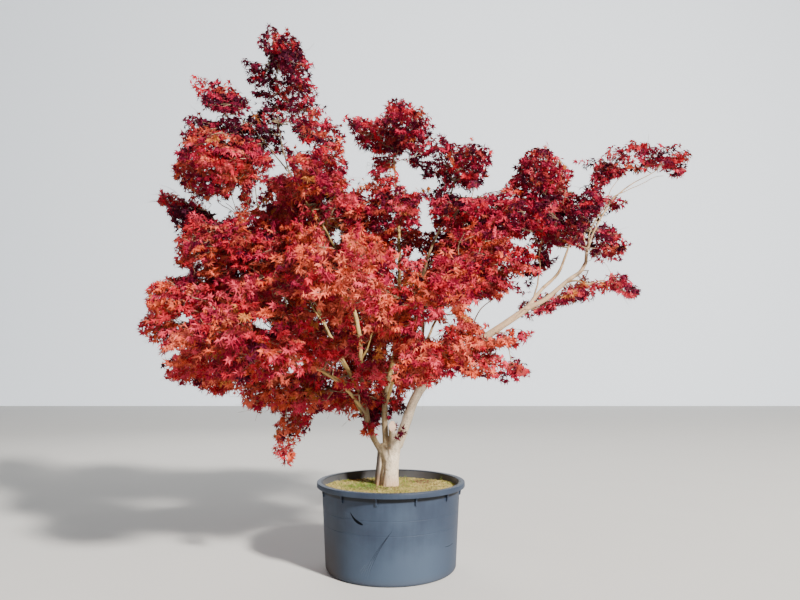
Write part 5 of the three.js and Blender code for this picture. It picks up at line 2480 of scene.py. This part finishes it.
@dataclass
class Growth:
    """Twigs that grow from the boughs to every spray, by the shortest easy way."""

    turn_cost: float = 0.45
    run_cost: float = 0.38
    kept_heading: float = 0.5
    tip_radius: float = 0.0015
    pipe_power: float = 2.35
    bough_share: float = 0.72
    long_twig: float = 0.12
    detours: int = 120
    relax_turns: int = 2
    own_share: float = 0.5

    def connect(self, starts: Array, headings: Array, sprays: Array) -> None:
        """Joins every spray to the tree, nearest first.

        Args:
            starts: Points on the boughs.
            headings: The boughs' directions there.
            sprays: The spray points.
        """
        self.count = len(starts)
        self.points = np.vstack([starts, sprays])
        heading = np.vstack([headings, np.zeros_like(sprays)])
        run = np.zeros(len(self.points))
        self.parent = np.full(len(self.points), -1)
        best = np.full(len(sprays), np.inf)
        source = np.zeros(len(sprays), int)
        for i in range(self.count):
            self._offer(i, sprays, heading, run, best, source)
        waiting = np.ones(len(sprays), bool)
        self.order = []
        for _ in range(len(sprays)):
            pick = int(np.argmin(np.where(waiting, best, np.inf)))
            node = self.count + pick
            origin = source[pick]
            self.parent[node] = origin
            step = self.points[node] - self.points[origin]
            heading[node] = unit(unit(step) + self.kept_heading * heading[origin])
            run[node] = run[origin] + np.linalg.norm(step)
            waiting[pick] = False
            self.order.append(node)
            self._offer(node, sprays, heading, run, best, source)

    def _offer(self, node: int, sprays: Array, heading: Array, run: Array,
               best: Array, source: Array) -> None:
        """Lets a node of the tree bid for every spray.

        Args:
            node: The node's number.
            sprays: The spray points.
            heading: Every node's direction.
            run: How far each node is from its bough.
            best: The lowest bid for each spray, which is changed.
            source: The node that made it, which is changed.
        """
        step = sprays - self.points[node]
        distance = np.sqrt(np.einsum("ij,ij->i", step, step)) + TINY
        forward = (step @ heading[node]) / distance
        cost = distance * (1 + self.turn_cost * (1 - forward)) + self.run_cost * run[node]
        better = cost < best
        best[better] = cost[better]
        source[better] = node

    def lead_round(self, view: Viewpoint) -> None:
        """Gives long twigs that would cross open sky another parent.

        Args:
            view: The camera, in whose frame the crown's outline is known.
        """
        rank = np.zeros(len(self.points), int)
        rank[self.order] = np.arange(1, len(self.order) + 1)
        starts = self.points[self.parent[self.order]]
        ends = self.points[self.order]
        long = np.linalg.norm(ends - starts, axis=1) > self.long_twig
        inside = in_outline(view.pixels((starts + ends) / 2), 0.0)
        for node in np.array(self.order)[long & ~inside]:
            earlier = np.flatnonzero(rank < rank[node])
            step = self.points[node] - self.points[earlier]
            nearest = earlier[np.argsort(np.linalg.norm(step, axis=1))[: self.detours]]
            clear = in_outline(view.pixels((self.points[nearest] + self.points[node]) / 2), 0.0)
            if clear.any():
                self.parent[node] = nearest[clear][0]

    def thicken(self, bough_radii: Array) -> None:
        """Gives every twig the radius that carries what grows on it.

        Args:
            bough_radii: The bough's radius at each start.
        """
        load = np.zeros(len(self.points))
        self.children = [[] for _ in self.points]
        for node in reversed(self.order):
            load[node] = max(load[node], 1.0)
            load[self.parent[node]] += load[node]
        for node in self.order:
            self.children[self.parent[node]].append(node)
        self.radius = self.tip_radius * np.maximum(load, 1.0) ** (1 / self.pipe_power)
        for node in self.order:
            origin = self.parent[node]
            limit = bough_radii[origin] * self.bough_share if origin < self.count else self.radius[origin]
            self.radius[node] = min(self.radius[node], limit)

    def thickest_child(self, node: int) -> int:
        """The thickest twig that grows on from a node."""
        return max(self.children[node], key=lambda child: self.radius[child])

    def relax(self) -> None:
        """Takes the zigzags out of the twigs, leaving their ends where they are."""
        for _ in range(self.relax_turns):
            moved = self.points.copy()
            for node in self.order:
                if self.children[node]:
                    ends = self.points[self.thickest_child(node)] + self.points[self.parent[node]]
                    moved[node] = self.own_share * self.points[node] + (1 - self.own_share) / 2 * ends
            self.points = moved

    def strokes(self) -> list[list[int]]:
        """The tree as long twigs: each runs on through its thickest side.

        Returns:
            The nodes of each long twig, from its foot to its tip.
        """
        taken = np.zeros(len(self.points), bool)
        result = []
        for node in self.order:
            if taken[node]:
                continue
            stroke = [self.parent[node], node]
            taken[node] = True
            while self.children[stroke[-1]]:
                stroke.append(self.thickest_child(stroke[-1]))
                taken[stroke[-1]] = True
            result.append(stroke)
        return result


def square_to(vectors: Array, axes: Array) -> Array:
    """Vectors turned square to one axis each, at length 1."""
    return unit(vectors - axes * np.einsum("ij,ij->i", vectors, axes)[:, None])


@dataclass
class Shoots:
    """Each spray's thin shoot: its foot, its direction, its flat side's direction and its length."""

    root: Array
    heading: Array
    face: Array
    length: Array


@dataclass
class ShootRule:
    """How the shoots of the sprays leave the twigs: on at a twig's end, and aside elsewhere."""

    length: Span = (0.085, 0.135)
    centring: float = 0.55
    levelling: Point = (1, 1, 0.15)
    onward: float = 0.45
    aside: float = 0.55
    outward: float = 0.55
    wander: float = 0.28
    sinking: Point = (0, 0, -0.10)
    face_up: float = 0.75
    face_outward: float = 0.55
    face_wander: float = 0.22

    def shoots(self, growth: Growth, outward: Array, rng: Chance) -> Shoots:
        """The shoot of every spray, with the sprays' points moved to the shoots' feet.

        Args:
            growth: The twigs.
            outward: The direction out of the crown at each spray.
            rng: Where the chances come from.

        Returns:
            The shoots.
        """
        first = growth.count
        roots = growth.points[first:]
        along = unit(roots - growth.points[growth.parent[first:]])
        ends = np.array([not growth.children[first + i] for i in range(len(roots))])
        hand = np.where(np.arange(len(roots)) % 2, 1, -1)
        side = unit(np.cross(along, UP) + TINY) * hand[:, None]
        flat = outward * self.levelling
        heading = along * np.where(ends, 1.0, self.onward)[:, None]
        heading = heading + side * np.where(ends, 0.0, self.aside)[:, None]
        heading = heading + self.outward * flat + rng.normal(0, self.wander, roots.shape) + self.sinking
        heading = unit(heading)
        face = UP * self.face_up + flat * self.face_outward + rng.normal(0, self.face_wander, roots.shape)
        length = rng.uniform(*self.length, len(roots))
        roots = roots - heading * (self.centring * length)[:, None]
        growth.points[first:] = roots
        return Shoots(roots, heading, square_to(face, heading), length)


@dataclass
class Leaves:
    """Leaves, each with its spray, its stalk's and blade's feet, where it points and faces, and its size."""

    spray: Array
    node: Array
    base: Array
    tip: Array
    face: Array
    size: Array

    def picked(self, which: Array) -> "Leaves":
        """Some of the leaves."""
        return Leaves(*(part[which] for part in vars(self).values()))

    @staticmethod
    def together(groups: list["Leaves"]) -> "Leaves":
        """Several groups of leaves as one."""
        return Leaves(*(np.concatenate(parts) for parts in zip(*(vars(group).values() for group in groups))))


@dataclass(frozen=True)
class LeafForm:
    """A five-lobed leaf: how far its lobes are cupped, and how wide it is between them.

    A lobe or notch is an angle from the tip in degrees and a reach as a share of the size.
    """

    cup: float
    fullness: float
    lobes: tuple[Span, ...] = ((0, 1.0), (43, 0.90), (96, 0.66))
    notches: tuple[Span, ...] = ((21, 0.38), (68, 0.32))
    notch_rise: float = 0.05

    def corners(self) -> list[Point]:
        """The blade's foot, and then its corners from one side round to the other.

        Returns:
            The corners, in shares of the leaf's size.
        """
        half = [(angle, reach, -self.cup * reach * reach) for angle, reach in self.lobes]
        half += [(angle, reach * self.fullness, self.notch_rise) for angle, reach in self.notches]
        half.sort()
        corners = [(0.0, 0.0, 0.0)]
        for angle, reach, rise in [(-a, r, z) for a, r, z in reversed(half)] + half[1:]:
            turn = math.radians(angle)
            corners.append((reach * math.sin(turn), reach * math.cos(turn), rise))
        return corners


@dataclass
class LeafRule:
    """How leaves sit on a shoot, in opposite pairs with one at the tip, and how they hang.

    A pair is its place along the shoot and its spread from it in degrees.
    """

    view: Viewpoint
    forms: tuple[LeafForm, ...] = (LeafForm(0.22, 1.0), LeafForm(0.42, 0.85), LeafForm(0.10, 1.15))
    pairs: tuple[Span, ...] = ((0.16, 74), (0.44, 68), (0.72, 58), (0.98, 42))
    spread_jitter: float = 12
    size: Span = (0.033, 0.051)
    pair_size: float = 1.08
    tip_size: float = 0.9
    stretch: Span = (0.85, 1.15)
    cupping: Span = (0.3, 1.9)
    curl: float = 0.20
    petiole: Span = (0.012, 0.024)
    petiole_width: float = 0.0013
    petiole_sag: float = 0.35
    hang: Span = (0.25, 0.85)
    tip_wander: float = 0.22
    face_up: float = 0.55
    face_outward: float = 0.55
    face_light: float = 0.35
    face_wander: float = 1.05
    light: Point = (0.30, -0.75, 0.45)
    dropped_share: float = 0.15
    middle: float = 0.55
    spray_jitter: float = 1.8
    edge_jitter: float = 1.0
    window_margin: float = 1.0
    limb_margin: float = 1.5
    beam: float = 0.030
    box_spill: Point = (0.11, 0.06, 0.11)

    def leaves(self, shoots: Shoots, outward: Array, rng: Chance) -> Leaves:
        """The leaves of all sprays.

        Args:
            shoots: The shoots that carry them.
            outward: The direction out of the crown at each spray.
            rng: Where the chances come from.

        Returns:
            Every leaf that hasn't dropped.
        """
        side = np.cross(shoots.heading, shoots.face)
        count = len(side)
        stations = [(place, hand * side, spread) for place, spread in self.pairs for hand in (-1, 1)]
        groups = []
        for place, aside, spread in [*stations, (1.0, side, 0)]:
            turn = np.radians(spread + rng.normal(0, self.spread_jitter, count))[:, None]
            node = shoots.root + shoots.heading * (shoots.length * place)[:, None]
            node = node - UP * (SHOOT_DROOP * shoots.length * place)[:, None]
            out = shoots.heading * np.cos(turn) + aside * np.sin(turn)
            hang = rng.uniform(*self.hang, count)[:, None]
            stalk = rng.uniform(*self.petiole, count)[:, None]
            base = node + unit(out - UP * self.petiole_sag * hang) * stalk
            tip = unit(out - UP * hang + rng.normal(0, self.tip_wander, out.shape))
            face = UP * self.face_up + outward * self.face_outward + np.array(self.light) * self.face_light
            face = square_to(face + rng.normal(0, self.face_wander, out.shape), tip)
            size = rng.uniform(*self.size, count) * (self.pair_size if place < 1 else self.tip_size)
            group = Leaves(np.arange(count), node, base, tip, face, size)
            groups.append(group.picked(rng.random(count) > self.dropped_share))
        return Leaves.together(groups)

    def clear(self, leaves: Leaves, spots: Array, apart: Array, rng: Chance) -> Array:
        """Which leaves stay: those in the crown's box and outline that hide and shade no bare limb.

        Args:
            leaves: The leaves.
            spots: The spots on the limbs that the sun reaches.
            apart: Which leaves may be outside the outline.
            rng: Where the chances come from.

        Returns:
            Whether each leaf stays.
        """
        middle = leaves.base + leaves.tip * (self.middle * leaves.size)[:, None]
        ends = leaves.base + leaves.tip * leaves.size[:, None]
        places = self.view.pixels(middle)
        jitter = rng.normal(0, self.spray_jitter, (leaves.spray.max() + 1, 2))[leaves.spray]
        jitter = jitter + rng.normal(0, self.edge_jitter, places.shape)
        low, high = np.array(FRAME_BOX)
        boxed = np.all((ends > low - self.box_spill) & (ends < high + self.box_spill), axis=1)
        crown = in_outline(places + jitter, self.window_margin) & ~shades_limbs(middle, spots, self.beam)
        return boxed & (crown | apart) & ~hides_limbs(middle, places, self.limb_margin)

    def shape(self, leaves: Leaves, tints: Array, rng: Chance) -> Shape:
        """Leaves as one shape, each a fan of triangles round its blade's foot and one for its stalk.

        Args:
            leaves: The leaves.
            tints: The tint number of each leaf.
            rng: Where the chances come from.

        Returns:
            The shape, with a tint's number as the finish number.
        """
        forms = np.array([form.corners() for form in self.forms])
        corners = forms.shape[1]
        fan = [(0, i + 1, i) for i in range(1, corners - 1)] + [(corners, corners + 1, 0)]
        count = len(tints)
        local = forms[rng.integers(0, len(forms), count)] * rng.uniform(*self.stretch, (count, 1, 1))
        local[..., 2] *= rng.uniform(*self.cupping, (count, 1))
        local[..., 2] += rng.normal(0, self.curl, local.shape[:2]) * np.hypot(local[..., 0], local[..., 1])
        side = np.cross(leaves.tip, leaves.face)
        axes = np.stack([side, leaves.tip, leaves.face], 1)
        blade = np.einsum("lpk,lkj->lpj", local, axes) * leaves.size[:, None, None] + leaves.base[:, None]
        wide = side * self.petiole_width / 2
        stalk = np.stack([leaves.node - wide, leaves.node + wide], 1)
        points = np.concatenate([blade, stalk], 1)
        triangles = np.array(fan)[None] + (np.arange(count) * points.shape[1])[:, None, None]
        return Shape(points.reshape(-1, 3), triangles.reshape(-1, 3), None, np.repeat(tints, len(fan)))


@dataclass
class TwigRule:
    """How thick, how round and how finely bent the twigs and shoots are."""

    swelling: float = 1.15
    step: float = 0.050
    most_steps: int = 30
    sides: tuple[int, ...] = (3, 4, 6)
    side_radii: tuple[float, ...] = (0.0024, 0.0050)
    shoot_radii: Span = (0.0012, 0.0008)
    shoot_sides: int = 3

    def twigs(self, growth: Growth) -> list[Shape]:
        """The twigs from the boughs outwards.

        Args:
            growth: The grown tree.

        Returns:
            The tubes.
        """
        shapes = []
        for stroke in growth.strokes():
            knots = growth.points[stroke]
            thick = growth.radius[stroke].copy()
            thick[0] = min(thick[0], thick[1] * self.swelling)
            step = max(self.step, float(np.linalg.norm(knots[-1] - knots[0])) / self.most_steps)
            line = rounded_path(list(knots), step)
            reach, far = distances_along(knots), distances_along(line)
            radii = np.interp(far * reach[-1] / max(far[-1], TINY), reach, thick)
            sides = self.sides[int(np.searchsorted(self.side_radii, thick[1], side="right"))]
            shapes.append(tube(line, radii, sides, capped=False))
        return shapes

    def shoots(self, shoots: Shoots) -> list[Shape]:
        """The thin shoots that carry the leaves, drooping a little.

        Args:
            shoots: The shoots.

        Returns:
            The tubes.
        """
        shapes = []
        for root, heading, length in zip(shoots.root, shoots.heading, shoots.length):
            line = np.array([root, root + heading * length])
            line[1, 2] -= SHOOT_DROOP * length
            shapes.append(tube(line, np.array(self.shoot_radii), self.shoot_sides, capped=False))
        return shapes


@dataclass
class Crown:
    """Twigs and leaves of the crown, grown from the boughs into the masses."""

    view: Viewpoint
    seed: int = 7
    anchor_step: int = 4
    anchor_reach: float = 0.10
    clump_outward: Point = (0.0, -1.0, 0.3)
    middle_pull: Point = (0.55, 1, 0.4)
    flattening: Point = (1, 1, 0.6)
    away_share: float = 0.6
    tint_drift: Waves = (2.6, 3)
    drift_share: float = 0.30
    tint_luck: float = 0.34
    ochre_share: float = 0.006

    def anchors(self, masses: list[FoliageMass]) -> tuple[Array, Array, Array]:
        """Points on the boughs, in or near the masses, where twigs may leave.

        Args:
            masses: All masses.

        Returns:
            The points, the bough's direction and its radius at each.
        """
        points, headings, radii = [], [], []
        for limb in BOUGHS:
            line = limb.line()
            along, _, _ = carried_frames(line)
            thick = limb.radius_at(distances_along(line))
            for i in range(0, len(line), self.anchor_step):
                if any(mass.depth(line[i])[0] > -self.anchor_reach for mass in masses):
                    points.append(line[i])
                    headings.append(along[i])
                    radii.append(thick[i])
        return np.array(points), np.array(headings), np.array(radii)

    def sprays(self, plan: SprayPlan, masses: list[FoliageMass],
               rng: Chance) -> tuple[Array, Array, Array]:
        """The sprays of the clumps, in their order, and then those of the masses.

        Args:
            plan: Where the masses' sprays sit.
            masses: All masses.
            rng: Where the chances come from.

        Returns:
            The points, the direction out of the crown at each, and each one's mass by number.
        """
        places, outs, owners = [], [], []
        for clump in CLUMPS:
            log.debug("%s: %d sprays", clump.name, clump.count)
            middle = self.view.point_at(clump.pixel, clump.distance)
            points = middle + rng.normal(0, clump.spread, (clump.count, 3))
            nearest = max(range(len(masses)), key=lambda number: masses[number].depth(points[0])[0])
            places.append(points)
            outs.append(np.tile(self.clump_outward, (clump.count, 1)))
            owners.append(np.full(clump.count, nearest))
        for number, mass in enumerate(masses):
            points, normals = plan.points_in(mass, rng)
            places.append(points)
            outs.append(normals)
            owners.append(np.full(len(points), number))
        points, outward, owner = np.vstack(places), np.vstack(outs), np.concatenate(owners)
        stay = plan.thinned(points) | (np.arange(len(points)) < sum(clump.count for clump in CLUMPS))
        points, outward, owner = points[stay], outward[stay], owner[stay]
        away = (points - np.array(CROWN_MIDDLE)) * self.middle_pull
        return points, unit(outward * self.flattening + self.away_share * unit(away)), owner

    def tints(self, points: Array, owner: Array, masses: list[FoliageMass],
              rng: Chance) -> Array:
        """Deals the tints out by spray, with neighbours often alike.

        Args:
            points: The spray points.
            owner: Each spray's mass.
            masses: The masses.
            rng: Where the chances come from.

        Returns:
            A tint number for each spray.
        """
        drift = self.drift_share * rough(points, *self.tint_drift)
        luck = np.argsort(np.argsort(drift + rng.normal(0, self.tint_luck, len(points)))) / len(points)
        order = np.argsort([tint.brightness() for tint in LeafTint])
        result = np.zeros(len(points), int)
        for number, mass in enumerate(masses):
            mine = owner == number
            steps = np.cumsum(mass.palette.shares()[order])
            result[mine] = order[np.minimum(np.searchsorted(steps, luck[mine]), len(order) - 1)]
        result[rng.random(len(points)) < self.ochre_share] = list(LeafTint).index(LeafTint.OCHRE)
        first = 0
        for clump in CLUMPS:
            if clump.palette:
                shares = clump.palette.shares()
                result[first : first + clump.count] = rng.choice(len(shares), clump.count, p=shares)
            first += clump.count
        return result

    def build(self) -> None:
        """Grows the crown and adds its pieces of foliage, its twigs and its shoots."""
        rng = np.random.default_rng(self.seed)
        plan = SprayPlan(self.view)
        masses = [
            FoliageMass(node, palette, piece, FILLS.get(node, 1.0))
            for piece, group in FOLIAGE.items()
            for node, palette in group.items()
        ]
        points, outward, owner = self.sprays(plan, masses, rng)
        log.info("%d sprays in %d masses", len(points), len(masses))
        starts, headings, radii = self.anchors(masses)
        growth = Growth()
        growth.connect(starts, headings, points)
        growth.lead_round(self.view)
        growth.thicken(radii)
        growth.relax()
        shoots = ShootRule().shoots(growth, outward, rng)
        rule = LeafRule(self.view)
        leaves = rule.leaves(shoots, outward, rng)
        apart = leaves.spray < sum(clump.count for clump in CLUMPS if clump.apart)
        leaves = leaves.picked(rule.clear(leaves, plan.spots, apart, rng))
        tint = self.tints(points, owner, masses, rng)[leaves.spray]
        materials = [tint.material() for tint in LeafTint]
        for piece, group in FOLIAGE.items():
            mine = np.array([masses[number].piece == piece for number in owner])[leaves.spray]
            mesh = make_mesh(piece, rule.shape(leaves.picked(mine), tint[mine], rng), False)
            add_piece(piece, mesh, materials, list(group))
        every = [mass.node for mass in masses]
        twig_bark = TwigBark("twig_bark", (0.52, 0.40, 0.24), (0.25, 0.16, 0.09)).material()
        shoot_bark = TwigBark("shoot_bark", (0.30, 0.12, 0.07), (0.14, 0.045, 0.03)).material()
        wood = TwigRule()
        for name, shapes, bark in (
            ("twigs", wood.twigs(growth), twig_bark), ("leaf_shoots", wood.shoots(shoots), shoot_bark)
        ):
            add_piece(name, make_mesh(name, Shape.joined(shapes), True), [bark], every)


def main() -> None:
    """Builds the view, the studio, the tub, the soil, the wood and the crown, in that order."""
    logging.basicConfig(level=logging.INFO, format="%(name)s %(message)s")
    view = Viewpoint()
    tub = Tub()
    for part in (view, Studio(), tub, SoilBed(tub), Wood(), Crown(view)):
        part.build()


if __name__ == "__main__":
    main()
